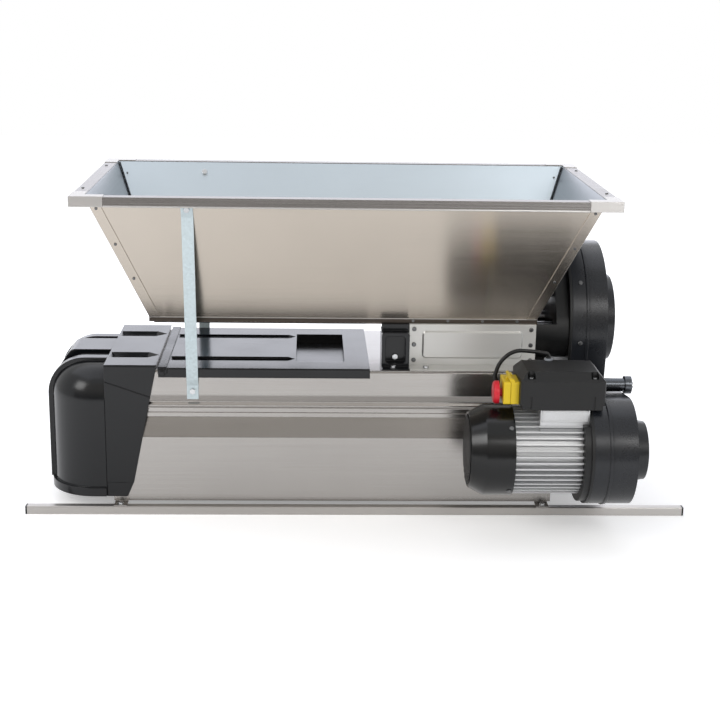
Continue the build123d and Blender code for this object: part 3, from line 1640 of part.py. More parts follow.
lid_height = terminal_lid_top - terminal_top
with BuildPart() as terminal_lid:
    with BuildSketch(plan.offset(terminal_top)):
        with Locations(terminal_middle):
            RectangleRounded(terminal_length, 2 * terminal_half, terminal_edge)
    extrude(amount=lid_height, taper=math.degrees(math.atan2(terminal_lid_slope, lid_height)))
    with BuildSketch(plan.offset(terminal_top + lid_seat_rise)):
        for screw_x in lid_screw_places:
            for _, sign in SIDES:
                recess_out = sign * (terminal_half - lid_screw_side / 2)
                with Locations((screw_x, sign * (terminal_half - lid_screw_side) - motor_out)):
                    Circle(lid_recess)
                with Locations((screw_x, recess_out - motor_out)):
                    Rectangle(2 * lid_recess, lid_screw_side)
    extrude(amount=lid_height, mode=Mode.SUBTRACT)
    drill(lid_screw_seats, lid_seat_rise, screw_shank + bolt_fit)
finish(terminal_lid, "terminal_lid")

switch_face = terminal_left - switch_base_depth
switch_middle = (-switch_out, (switch_bottom + switch_top) / 2)
switch_height = switch_top - switch_bottom
hinge_axis = (switch_face - free_gap / 2, switch_top + hinge_drop)
hinge_third = 2 * switch_half / 3
button_well = button_height + 2 * button_travel

with BuildPart() as switch_base:
    with BuildSketch(across.offset(switch_face)):
        with Locations(switch_middle):
            RectangleRounded(2 * switch_half, switch_height, switch_edge)
    extrude(amount=switch_base_depth)
    for sign in (-1, 1):
        knuckle_y = -switch_out + sign * hinge_third
        with BuildSketch(side.offset(hinge_third / 2 - free_gap - knuckle_y)):
            with Locations(hinge_axis):
                Circle(hinge_radius)
            with Locations((hinge_axis[0] + hinge_radius, switch_top - switch_edge)):
                Rectangle(2 * hinge_radius, hinge_drop + switch_edge, align=(Align.CENTER, Align.MIN))
            with Locations(hinge_axis):
                Circle(hinge_pin_radius + shaft_fit, mode=Mode.SUBTRACT)
        extrude(amount=2 * free_gap - hinge_third)
    with BuildSketch(across.offset(switch_face)):
        with Locations((-switch_out, start_z)):
            Circle(button_radius + shaft_fit)
    extrude(amount=button_well, mode=Mode.SUBTRACT)
    with BuildSketch(side.offset(switch_out + switch_half - free_gap)):
        with Locations(hinge_axis):
            Circle(hinge_pin_radius)
    extrude(amount=2 * free_gap - 2 * switch_half)
finish(switch_base, "switch_base")

lid_outer = switch_face - free_gap - switch_lid_depth
with BuildPart() as switch_lid:
    with BuildSketch(across.offset(lid_outer)):
        with Locations(switch_middle):
            RectangleRounded(2 * switch_half, switch_height, switch_edge)
    extrude(amount=switch_lid_depth)
    fillet(switch_lid.faces().sort_by(Axis.X)[0].edges(), switch_edge / 2)
    with BuildSketch(across.offset(lid_outer + switch_wall)):
        with Locations(switch_middle):
            Rectangle(2 * (switch_half - switch_wall), switch_height - 2 * switch_wall)
    extrude(amount=switch_lid_depth, mode=Mode.SUBTRACT)
    with BuildSketch(across.offset(lid_outer)):
        with Locations((-switch_out, stop_z)):
            Circle(stop_stem + shaft_fit)
    extrude(amount=switch_wall, mode=Mode.SUBTRACT)
    with BuildSketch(side.offset(switch_out + hinge_third / 2 - free_gap)):
        with Locations(hinge_axis):
            Circle(hinge_radius)
        with Locations((hinge_axis[0] - hinge_radius, switch_top - switch_wall)):
            Rectangle(2 * hinge_radius, hinge_drop + switch_wall, align=(Align.CENTER, Align.MIN))
        with Locations(hinge_axis):
            Circle(hinge_pin_radius + shaft_fit, mode=Mode.SUBTRACT)
    extrude(amount=2 * free_gap - hinge_third)
finish(switch_lid, "switch_lid")

with BuildPart() as stop_button:
    with BuildSketch(across.offset(lid_outer - stop_travel - free_gap)):
        with Locations((-switch_out, stop_z)):
            Circle(stop_radius)
    extrude(amount=-stop_height)
    fillet(stop_button.edges().group_by(Axis.X)[0], stop_height / 2)
    with BuildSketch(across.offset(lid_outer - stop_travel - free_gap)):
        with Locations((-switch_out, stop_z)):
            Circle(stop_stem)
    extrude(amount=stop_travel + 2 * free_gap + switch_wall)
    with BuildSketch(across.offset(lid_outer + switch_wall + free_gap)):
        with Locations((-switch_out, stop_z)):
            Circle(stop_stem + switch_wall)
    extrude(amount=switch_wall)
finish(stop_button, "stop_button")

with BuildPart() as start_button:
    with BuildSketch(across.offset(switch_face - button_height)):
        with Locations((-switch_out, start_z)):
            Circle(button_radius)
    extrude(amount=button_well - button_travel)
    fillet(start_button.edges().group_by(Axis.X)[0], button_edge)
finish(start_button, "start_button")

# Lead from the switch to the terminal box, held at a gland on each end
lead_start = (terminal_left - lead_inset, switch_half - switch_out, switch_bottom + lead_rise)
lead_end = (terminal_left + lead_reach, switch_half + lead_side - switch_out, terminal_lid_top)
lead_places = [lead_start]
for step in lead_run:
    lead_places.append([place + move for place, move in zip(lead_start, step)])
lead_places.append((lead_end[0], lead_end[1], terminal_lid_top + lead_drop))
lead_places.append(lead_end)
lead_points = [Vector(x, mid_y + y, z) for x, y, z in lead_places]
lead_radii = []
for before, corner, after in zip(lead_points, lead_points[1:], lead_points[2:]):
    turn = math.radians((corner - before).get_angle(after - corner))
    shorter_run = min((corner - before).length, (after - corner).length)
    lead_radii.append(lead_ease * shorter_run / math.tan(turn / 2))
print("lead radii", [round(radius, 1) for radius in lead_radii])

with BuildPart() as switch_lead:
    with BuildLine():
        lead_path = FilletPolyline(*lead_points, radius=lead_radii)
    with BuildSketch(Plane(origin=lead_path @ 0, z_dir=lead_path % 0)):
        Circle(cable_radius)
    sweep(path=lead_path)
    for lead_tip, inward in ((lead_path @ 0, lead_path % 0), (lead_path @ 1, -(lead_path % 1))):
        with BuildSketch(Plane(origin=lead_tip, z_dir=inward)):
            Circle(gland_radius)
            Circle(cable_radius + keyed_fit, mode=Mode.SUBTRACT)
        extrude(amount=gland_length)
finish(switch_lead, "switch_lead")

# Fasteners that the pieces share
with BuildPart() as hex_bolts:
    with Locations(*foot_seats):
        HexBolt(foot_thickness + rail_wall + bolt_shank)
    with Locations(*bearing_seats):
        HexBolt(bearing_length + end_plate)
    with Locations(*deck_bolt_seats):
        HexBolt(box_bolt_grip, nut=True)
    with Locations(*strut_low_seats):
        HexBolt(strut_thickness + sheet, nut=True)
    with Locations(*strut_top_seats):
        HexBolt(strut_thickness + sheet, nut=True)
    with Locations(bracket_seat):
        HexBolt(bracket_depth / 4)
finish(hex_bolts, "hex_bolts")

with BuildPart() as round_screws:
    with Locations(*panel_screw_seats):
        RoundHead(screw_head, screw_head_height, screw_shank, 2 * sheet)
    with Locations(*guard_screw_seats):
        RoundHead(screw_head, screw_head_height, screw_shank, guard_wall)
    with Locations(*cowl_screw_seats):
        RoundHead(screw_head, screw_head_height, screw_shank, cowl_wall + cowl_screw_bite)
    with Locations(*lid_screw_seats):
        RoundHead(screw_head, screw_head_height, screw_shank, lid_seat_rise)
finish(round_screws, "round_screws")
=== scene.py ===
import math

import bmesh
import bpy
from bpy.props import FloatProperty, FloatVectorProperty, PointerProperty
from mathutils import Matrix, Vector


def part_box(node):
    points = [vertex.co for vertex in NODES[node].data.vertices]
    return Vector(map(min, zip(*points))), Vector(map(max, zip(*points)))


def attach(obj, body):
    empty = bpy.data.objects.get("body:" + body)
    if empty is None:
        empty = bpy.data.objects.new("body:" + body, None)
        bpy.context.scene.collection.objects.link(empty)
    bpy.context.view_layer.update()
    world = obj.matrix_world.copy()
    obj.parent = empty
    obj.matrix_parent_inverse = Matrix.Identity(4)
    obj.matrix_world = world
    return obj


bl_info = {
    "name": "Fruit crusher",
    "version": (1, 0, 0),
    "blender": (4, 5, 0),
    "location": "View3D > Sidebar > Crusher",
    "description": "Finishes, small details and studio for a motor driven fruit crusher and stalk separator",
    "category": "Object",
}

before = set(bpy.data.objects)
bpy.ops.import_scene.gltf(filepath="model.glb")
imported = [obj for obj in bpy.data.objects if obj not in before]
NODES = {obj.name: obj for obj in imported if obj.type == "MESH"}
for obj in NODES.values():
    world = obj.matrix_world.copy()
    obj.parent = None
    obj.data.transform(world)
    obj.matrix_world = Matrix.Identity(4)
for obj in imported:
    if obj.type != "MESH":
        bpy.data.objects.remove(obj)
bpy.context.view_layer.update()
MM = 0.001

# Length of a brush line, and size of the patches left by wiping a sheet and by rubbing a moulding
BRUSH_LENGTH = 260 * MM
WIPE_SIZE = 180 * MM
RUB_SIZE = 70 * MM
# How far a reflection is drawn out across the brush lines
BRUSH_STRETCH = 0.8
# Direction of the brush lines, tilted a hair off the axis so that no face is square to it
BRUSH_AXIS = {"X": (1, 0.001, 0.001), "Y": (0.001, 1, 0.001), "Z": (0.001, 0.001, 1)}
# The part of a noise pattern's range that carries most of it
NOISE_RANGE = {"From Min": 0.3, "From Max": 0.7}
# Polypropylene and ABS have about 1.5; the photograph's blacks are deeper on faces seen straight on
PLASTIC_IOR = 1.4
# Rays that find a rounded edge
EDGE_SAMPLES = 6
# Faces that meet at more than this angle stay sharp on the added pieces
SHARP_ANGLE = math.radians(35)

# The photograph's camera: place in metres, and turn in degrees as pitch, yaw and roll
CAMERA_PLACE = (-0.0964, -2.5936, 0.9721)
CAMERA_TURN = (15.19, 2.24, 0.96)
SENSOR_WIDTH = 36
# How much paler than lit the floor looks, from under the machine outwards, with the distances in metres
FLOOR_FADE = {"From Min": 0.1, "From Max": 1.6, "To Min": 0.28, "To Max": 0.72}
# The dim wall's corners, and how its glow rises with the height, in metres
WALL_CORNERS = ((-4, -2.3, 0), (4, -2.3, 0), (4, -2.3, 3), (-4, -2.3, 3))
WALL_FADE = {"From Min": 0.0, "From Max": 1.4, "To Min": 0.14, "To Max": 0.85}
# Name, setting with the power, two sides, place, aim (all in metres) and colour of each light
LIGHTS = (
    ("top light", "top_power", (4.0, 2.6), (-0.25, 0.75, 2.5), (0, 0.3, 0.3), "#EFF3FF"),
    ("front light", "front_power", (3.0, 2.0), (-1.3, -2.8, 2.0), (0, 0, 0.3), "#FFFAF2"),
    ("back light", "back_power", (3.6, 1.3), (-0.2, 2.6, 1.0), (0, 0, 0.4), "#E9EDFF"),
    ("key softbox", "key_power", (0.9, 0.9), (-1.9, -1.3, 1.6), (-0.45, -0.1, 0.2), "#FFFFFF"),
    ("side softbox", "side_power", (0.9, 1.2), (1.1, -2.3, 1.3), (0.45, -0.1, 0.25), "#FFFFFF"),
)


def linear(hex_colour):
    """The linear colour of an sRGB hex value."""
    values = [int(hex_colour[i:i + 2], 16) / 255 for i in (1, 3, 5)]
    return [v / 12.92 if v <= 0.04045 else ((v + 0.055) / 1.055) ** 2.4 for v in values]


def colour(name, description, hex_colour):
    return FloatVectorProperty(
        name=name, description=description, default=linear(hex_colour), subtype="COLOR", min=0, max=1
    )


def size(name, description, default_mm):
    return FloatProperty(
        name=name, description=description, default=default_mm * MM, min=0, subtype="DISTANCE", unit="LENGTH"
    )


def power(name, description, watts):
    return FloatProperty(name=name, description=description, default=watts, min=0, unit="POWER")


class SheetSettings(bpy.types.PropertyGroup):
    """Colours and finish of the sheet metal"""

    hopper_colour: colour("Hopper steel", "Brushed stainless sheet of the hopper's walls", "#BCB4AA")
    body_colour: colour("Body steel", "Satin stainless sheet round the drum", "#A6A3A0")
    # Painted reflection: the far wall is a paler, bluer copy of the hopper steel, standing in for the bluish
    # studio light it reflects
    far_wall_sky_tint_colour: colour("Far wall steel and painted sky tint", "Stainless of the hopper's far wall, paler and bluer as a painted sky reflection", "#BFCAD2")
    end_colour: colour("End steel", "Brushed sheet of the hopper's two ends", "#8E9195")
    # Painted shade: the rim is a darker copy of the hopper steel, for the dim reflection on its upright face
    rim_painted_shade_colour: colour("Rim steel", "Folded edge round the hopper's mouth, darkened as painted shade", "#8A8785")
    # Painted shade: the neck strip is a dark copy of the hopper steel, for the shade below the hopper
    neck_painted_shade_colour: colour("Neck steel", "Stainless strip at the hopper's neck, darkened as painted shade", "#4A443F")
    box_colour: colour("Box steel", "Pressed panels of the roller box", "#C6C6C4")
    # Also used as a painted highlight: the hem below the rim and the fold above the neck take this paler steel
    cap_and_highlight_colour: colour("Cap steel", "Pressed caps on the rim's corners, also the painted highlight on hem and neck fold", "#BEBCBA")
    rail_colour: colour("Rail steel", "Stainless square tube of the rails", "#B2AFAC")
    strut_colour: colour("Strut zinc", "Hot dip zinc on the struts", "#BAC6CA")
    bolt_colour: colour("Bolt zinc", "Bright zinc on bolts and nuts", "#C2C4C6")
    rivet_colour: colour("Rivet steel", "Dull steel of rivets and small screws", "#6E6F70")
    brush_gap: size("Brush line gap", "Distance between two brush lines, drawn coarser than real", 1.6)
    spangle: size("Spangle size", "Width of one zinc crystal on the struts", 4)
    hem_width: size("Hem width", "Thickness of the rolled hem below the rim", 3.2)
    cap_length: size("Cap length", "How far a corner cap covers the rim", 56)
    shade_line_width: size("Shade line width", "Width of the painted shade line in the hopper's far corners", 2.6)
    # Painted highlight: the fold above the neck is made bright with the caps steel
    fold_highlight_width: size("Fold highlight width", "Width of the fold above the neck strip, made bright as a painted highlight", 1.8)
    # Painted shade: a dark line in the hopper's two far corners, where end and far wall meet in shade
    corner_shade_colour: colour("Corner shade", "Dark line painted as shade in the hopper's far corners", "#2B2D30")


class PlasticSettings(bpy.types.PropertyGroup):
    """Colours and finish of the mouldings"""

    black_colour: colour("Black moulding", "Black plastic of hood, frame and lid", "#0B0D10")
    guard_colour: colour("Guard moulding", "Grained black plastic of the belt guard", "#1A1C20")
    cowl_colour: colour("Cowl black", "Black of fan cowl, terminal box, gear cover and plate", "#0B0C0D")
    strap_colour: colour("Strap rubber", "Black rubber of the lid's strap", "#1B1C20")
    lead_colour: colour("Lead rubber", "Black rubber of lead and belt", "#141414")
    nut_colour: colour("Nut grey", "Grey nylon of the lead's nut", "#8B8F93")
    switch_colour: colour("Switch yellow", "Yellow plastic of the switch", "#FFB81C")
    stop_colour: colour("Stop red", "Red plastic of the stop button", "#C81F2E")
    start_colour: colour("Start green", "Green plastic of the start button", "#1F8A3C")
    grain: size("Grain", "Width of one grain of the moulded texture", 1.1)


class CastingSettings(bpy.types.PropertyGroup):
    """Colours and finish of castings and turned pieces"""

    aluminium_colour: colour("Motor aluminium", "Die cast aluminium of the motor housing", "#C2C3C4")
    iron_colour: colour("Bearing iron", "Grey cast iron of the drum bearings", "#4B4F53")
    steel_colour: colour("Turned steel", "Turned and milled steel of shafts and gears", "#A9A9AA")
    bronze_colour: colour("Bush bronze", "Bronze of the roller bushes", "#A9783C")
    rubber_colour: colour("Roller rubber", "Food rubber of the crusher rollers", "#3A2F2B")
    rod_colour: colour("Rod steel", "Blackened steel of tie rod and spacers", "#54575B")
    grit: size("Casting grit", "Width of one grain left by the casting sand", 1.4)
    mesh_pitch: size("Mesh pitch", "Distance between two cells of the cowl's mesh", 8)
    mesh_bar: size("Mesh bar", "Thickness of the mesh between two cells", 1.6)
    mesh_radius: size("Mesh radius", "Radius of the mesh on the cowl", 63)
    pad_half: size("Pad half width", "From the motor's axis to the front of its pad", 48.5)
    pad_length: size("Pad length", "Length of the pad along the motor", 85)
    pad_drop: size("Pad drop", "From the pad's top to the lower bar of its rim", 30)
    pad_cover: size("Pad cover", "How much of the pad the terminal box hides", 9)
    pad_rim: size("Pad rim", "Width of the rim round the pad", 2.4)
    rod_nut_radius: size("Rod nut radius", "Radius of the round nut on the tie rod", 16)
    gland_radius: size("Gland radius", "Radius of the sleeve round the lead's end", 4.7)


class StageSettings(bpy.types.PropertyGroup):
    """Studio round the machine"""

    floor_colour: colour("Floor", "Pale floor the machine stands on", "#F7F6F4")
    floor_size: size("Floor size", "Side of the square floor", 12000)
    lens: FloatProperty(
        name="Lens", description="Focal length on a 36 mm sensor", default=71.44, min=1, unit="CAMERA"
    )
    top_power: power("Top light", "Power of the soft light overhead", 29)
    front_power: power("Front light", "Power of the soft light in front", 14)
    back_power: power("Back light", "Power of the soft light behind", 17)
    side_power: power("Side softbox", "Power of the softbox at the right", 20)
    key_power: power("Key softbox", "Power of the softbox at the left", 16)


def add_node(tree, kind, settings=(), links=()):
    """Adds one node: settings go to its properties or input sockets, links are (input, source socket)."""
    node = tree.nodes.new(kind)
    for name, value in dict(settings).items():
        if isinstance(name, int) or name in node.inputs:
            node.inputs[name].default_value = value
        else:
            setattr(node, name, value)
    for name, source in dict(links).items():
        tree.links.new(source, node.inputs[name])
    return node


def new_material(name):
    """An empty material, its nodes, and the object's own coordinates in metres for its patterns."""
    material = bpy.data.materials.new(name)
    material.use_nodes = True
    tree = material.node_tree
    tree.nodes.clear()
    return material, tree, add_node(tree, "ShaderNodeTexCoord").outputs["Object"]


def tone(base, factor):
    """A lighter or darker tone of a colour, for a colour socket."""
    return (*[min(1.0, value * factor) for value in base], 1)


def brushed_stainless(name, base, gloss, brush_gap, along="X", edge=0.8 * MM):
    # Rolled stainless sheet, brushed along its length: long faint lines that draw out the reflections across
    # them, and cloudy patches where it was wiped. The lines are drawn coarser than the real ones, or they would
    # not show.
    material, tree, place = new_material(name)
    spacing = [1 / BRUSH_LENGTH if axis == along else 1 / brush_gap for axis in "XYZ"]
    stretched = add_node(tree, "ShaderNodeMapping", {"Scale": spacing}, {"Vector": place})
    lines = add_node(
        tree, "ShaderNodeTexNoise", {"Scale": 1.0, "Detail": 4.0, "Roughness": 0.55},
        {"Vector": stretched.outputs["Vector"]},
    )
    clouds = add_node(tree, "ShaderNodeTexNoise", {"Scale": 1 / WIPE_SIZE, "Detail": 2.0}, {"Vector": place})
    roughness = add_node(
        tree, "ShaderNodeMapRange", {**NOISE_RANGE, "To Min": gloss[0], "To Max": gloss[1]},
        {"Value": lines.outputs["Fac"]},
    )
    colour_mix = add_node(
        tree, "ShaderNodeMix", {"data_type": "RGBA", 6: tone(base, 0.93), 7: tone(base, 1.05)},
        {0: clouds.outputs["Fac"]},
    )
    rounded = add_node(tree, "ShaderNodeBevel", {"samples": EDGE_SAMPLES, "Radius": edge})
    relief = add_node(
        tree, "ShaderNodeBump", {"Strength": 0.03, "Distance": 0.05 * MM},
        {"Height": lines.outputs["Fac"], "Normal": rounded.outputs["Normal"]},
    )
    facing = add_node(tree, "ShaderNodeNewGeometry")
    across = add_node(
        tree, "ShaderNodeVectorMath", {"operation": "CROSS_PRODUCT", 1: BRUSH_AXIS[along]},
        {0: facing.outputs["Normal"]},
    )
    shader = add_node(
        tree, "ShaderNodeBsdfPrincipled", {"Metallic": 1.0, "Anisotropic": BRUSH_STRETCH},
        {
            "Base Color": colour_mix.outputs[2], "Roughness": roughness.outputs["Result"],
            "Normal": relief.outputs["Normal"], "Tangent": across.outputs["Vector"],
        },
    )
    add_node(tree, "ShaderNodeOutputMaterial", links={"Surface": shader.outputs["BSDF"]})
    return material


def spangled_zinc(name, base, spangle):
    # Hot dip zinc: pale crystals that each catch the light a little differently
    material, tree, place = new_material(name)
    crystals = add_node(
        tree, "ShaderNodeTexVoronoi", {"feature": "F1", "Scale": 1 / spangle, "Randomness": 1.0},
        {"Vector": place},
    )
    grey = add_node(tree, "ShaderNodeRGBToBW", links={"Color": crystals.outputs["Color"]})
    roughness = add_node(
        tree, "ShaderNodeMapRange", {"From Min": 0.2, "From Max": 0.8, "To Min": 0.34, "To Max": 0.5},
        {"Value": grey.outputs["Val"]},
    )
    colour_mix = add_node(
        tree, "ShaderNodeMix", {"data_type": "RGBA", 6: tone(base, 0.84), 7: tone(base, 1.06)},
        {0: grey.outputs["Val"]},
    )
    rounded = add_node(tree, "ShaderNodeBevel", {"samples": EDGE_SAMPLES, "Radius": 0.8 * MM})
    shader = add_node(
        tree, "ShaderNodeBsdfPrincipled", {"Metallic": 0.9},
        {
            "Base Color": colour_mix.outputs[2], "Roughness": roughness.outputs["Result"],
            "Normal": rounded.outputs["Normal"],
        },
    )
    add_node(tree, "ShaderNodeOutputMaterial", links={"Surface": shader.outputs["BSDF"]})
    return material


def turned_metal(name, base, roughness, mark=2.5 * MM):
    # Turned, milled or plated metal: fine tool marks round the axis and a soft gleam
    material, tree, place = new_material(name)
    squeezed = add_node(
        tree, "ShaderNodeMapping", {"Scale": (3 / mark, 1 / mark, 1 / mark)}, {"Vector": place}
    )
    marks = add_node(
        tree, "ShaderNodeTexNoise", {"Scale": 1.0, "Detail": 3.0}, {"Vector": squeezed.outputs["Vector"]}
    )
    shine = add_node(
        tree, "ShaderNodeMapRange", {**NOISE_RANGE, "To Min": roughness - 0.06, "To Max": roughness + 0.08},
        {"Value": marks.outputs["Fac"]},
    )
    colour_mix = add_node(
        tree, "ShaderNodeMix", {"data_type": "RGBA", 6: tone(base, 0.88), 7: tone(base, 1.06)},
        {0: marks.outputs["Fac"]},
    )
    rounded = add_node(tree, "ShaderNodeBevel", {"samples": EDGE_SAMPLES, "Radius": 0.6 * MM})
    relief = add_node(
        tree, "ShaderNodeBump", {"Strength": 0.12, "Distance": 0.05 * MM},
        {"Height": marks.outputs["Fac"], "Normal": rounded.outputs["Normal"]},
    )
    shader = add_node(
        tree, "ShaderNodeBsdfPrincipled", {"Metallic": 1.0},
        {
            "Base Color": colour_mix.outputs[2], "Roughness": shine.outputs["Result"],
            "Normal": relief.outputs["Normal"],
        },
    )
    add_node(tree, "ShaderNodeOutputMaterial", links={"Surface": shader.outputs["BSDF"]})
    return material


def moulded_plastic(name, base, gloss, grain, relief_strength, speckle=0.0, edge=1.5 * MM):
    # Injection moulded plastic: an even colour, a fine grain from the mould, slightly rubbed patches and
    # edges that the mould left round. A coarse spark-eroded grain also shows as pale and dark specks.
    material, tree, place = new_material(name)
    skin = add_node(tree, "ShaderNodeTexNoise", {"Scale": 1 / grain, "Detail": 2.0}, {"Vector": place})
    rubbed = add_node(tree, "ShaderNodeTexNoise", {"Scale": 1 / RUB_SIZE, "Detail": 4.0}, {"Vector": place})
    roughness = add_node(
        tree, "ShaderNodeMapRange", {**NOISE_RANGE, "To Min": gloss[0], "To Max": gloss[1]},
        {"Value": rubbed.outputs["Fac"]},
    )
    specks = add_node(
        tree, "ShaderNodeMapRange",
        {"From Min": 0.35, "From Max": 0.65, "To Min": 0.5 - speckle, "To Max": 0.5 + speckle},
        {"Value": skin.outputs["Fac"]},
    )
    colour_mix = add_node(
        tree, "ShaderNodeMix", {"data_type": "RGBA", 6: tone(base, 0.35), 7: tone(base, 1.65)},
        {0: specks.outputs["Result"]},
    )
    rounded = add_node(tree, "ShaderNodeBevel", {"samples": EDGE_SAMPLES, "Radius": edge})
    relief = add_node(
        tree, "ShaderNodeBump", {"Strength": relief_strength, "Distance": 0.12 * MM},
        {"Height": skin.outputs["Fac"], "Normal": rounded.outputs["Normal"]},
    )
    shader = add_node(
        tree, "ShaderNodeBsdfPrincipled", {"IOR": PLASTIC_IOR},
        {
            "Base Color": colour_mix.outputs[2], "Roughness": roughness.outputs["Result"],
            "Normal": relief.outputs["Normal"],
        },
    )
    add_node(tree, "ShaderNodeOutputMaterial", links={"Surface": shader.outputs["BSDF"]})
    return material


def cast_metal(name, base, gloss, grit, metallic):
    # Cast metal: the grit of the mould stands in the surface and dulls the reflection unevenly
    material, tree, place = new_material(name)
    sand = add_node(tree, "ShaderNodeTexNoise", {"Scale": 1 / grit, "Detail": 3.0}, {"Vector": place})
    patch = 25 * grit
    clouds = add_node(tree, "ShaderNodeTexNoise", {"Scale": 1 / patch, "Detail": 3.0}, {"Vector": place})
    roughness = add_node(
        tree, "ShaderNodeMapRange", {**NOISE_RANGE, "To Min": gloss[0], "To Max": gloss[1]},
        {"Value": clouds.outputs["Fac"]},
    )
    colour_mix = add_node(
        tree, "ShaderNodeMix", {"data_type": "RGBA", 6: tone(base, 0.84), 7: tone(base, 1.08)},
        {0: sand.outputs["Fac"]},
    )
    rounded = add_node(tree, "ShaderNodeBevel", {"samples": EDGE_SAMPLES, "Radius": 1 * MM})
    relief = add_node(
        tree, "ShaderNodeBump", {"Strength": 0.25, "Distance": 0.25 * MM},
        {"Height": sand.outputs["Fac"], "Normal": rounded.outputs["Normal"]},
    )
    shader = add_node(
        tree, "ShaderNodeBsdfPrincipled", {"Metallic": metallic},
        {
            "Base Color": colour_mix.outputs[2], "Roughness": roughness.outputs["Result"],
            "Normal": relief.outputs["Normal"],
        },
    )
    add_node(tree, "ShaderNodeOutputMaterial", links={"Surface": shader.outputs["BSDF"]})
    return material


def make_piece(name, shape, material, body):
    """Turns a finished bmesh into a piece that moves with a body."""
    mesh = bpy.data.meshes.new(name)
    bmesh.ops.recalc_face_normals(shape, faces=shape.faces)
    shape.to_mesh(mesh)
    shape.free()
    mesh.shade_smooth()
    mesh.set_sharp_from_angle(angle=SHARP_ANGLE)
    mesh.materials.append(material)
    piece = bpy.data.objects.new(name, mesh)
    bpy.context.scene.collection.objects.link(piece)
    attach(piece, body)
    return piece


def rounded_block(shape, low, high, edge):
    """Adds a block between two corners with rounded edges."""
    middle = (Vector(low) + Vector(high)) / 2
    sides = Vector(high) - Vector(low)
    stand = Matrix.Translation(middle) @ Matrix.Diagonal((*sides, 1))
    block = bmesh.ops.create_cube(shape, size=1, matrix=stand)
    edges = list({side for corner in block["verts"] for side in corner.link_edges})
    bmesh.ops.bevel(
        shape, geom=edges, offset=edge, segments=3, profile=0.5, affect="EDGES", clamp_overlap=True
    )


def hex_head(shape, place, turn, radius, height, edge):
    """Adds a six sided nut or bolt head that stands on a place, with its corners turned off."""
    stand = Matrix.Translation(place) @ turn @ Matrix.Translation((0, 0, height / 2))
    head = bmesh.ops.create_cone(
        shape, cap_ends=True, segments=6, radius1=radius, radius2=radius, depth=height, matrix=stand
    )
    edges = list({side for corner in head["verts"] for side in corner.link_edges})
    bmesh.ops.bevel(
        shape, geom=edges, offset=edge, segments=2, profile=0.5, affect="EDGES", clamp_overlap=True
    )


def round_rod(shape, start, end, radius):
    """Adds a round rod between two points."""
    along = end - start
    stand = Matrix.Translation((start + end) / 2) @ along.to_track_quat("Z", "Y").to_matrix().to_4x4()
    bmesh.ops.create_cone(
        shape, cap_ends=True, segments=12, radius1=radius, radius2=radius, depth=along.length, matrix=stand
    )


def thicken(shape, step):
    """Gives a flat sheet its thickness along a step."""
    grown = bmesh.ops.extrude_face_region(shape, geom=shape.faces[:], use_keep_orig=True)
    lifted = [part for part in grown["geom"] if isinstance(part, bmesh.types.BMVert)]
    bmesh.ops.translate(shape, verts=lifted, vec=step)


def dress(material, *names):
    """Gives CAD nodes a finish."""
    for name in names:
        piece = NODES[name]
        piece.data.materials.clear()
        piece.data.materials.append(material)


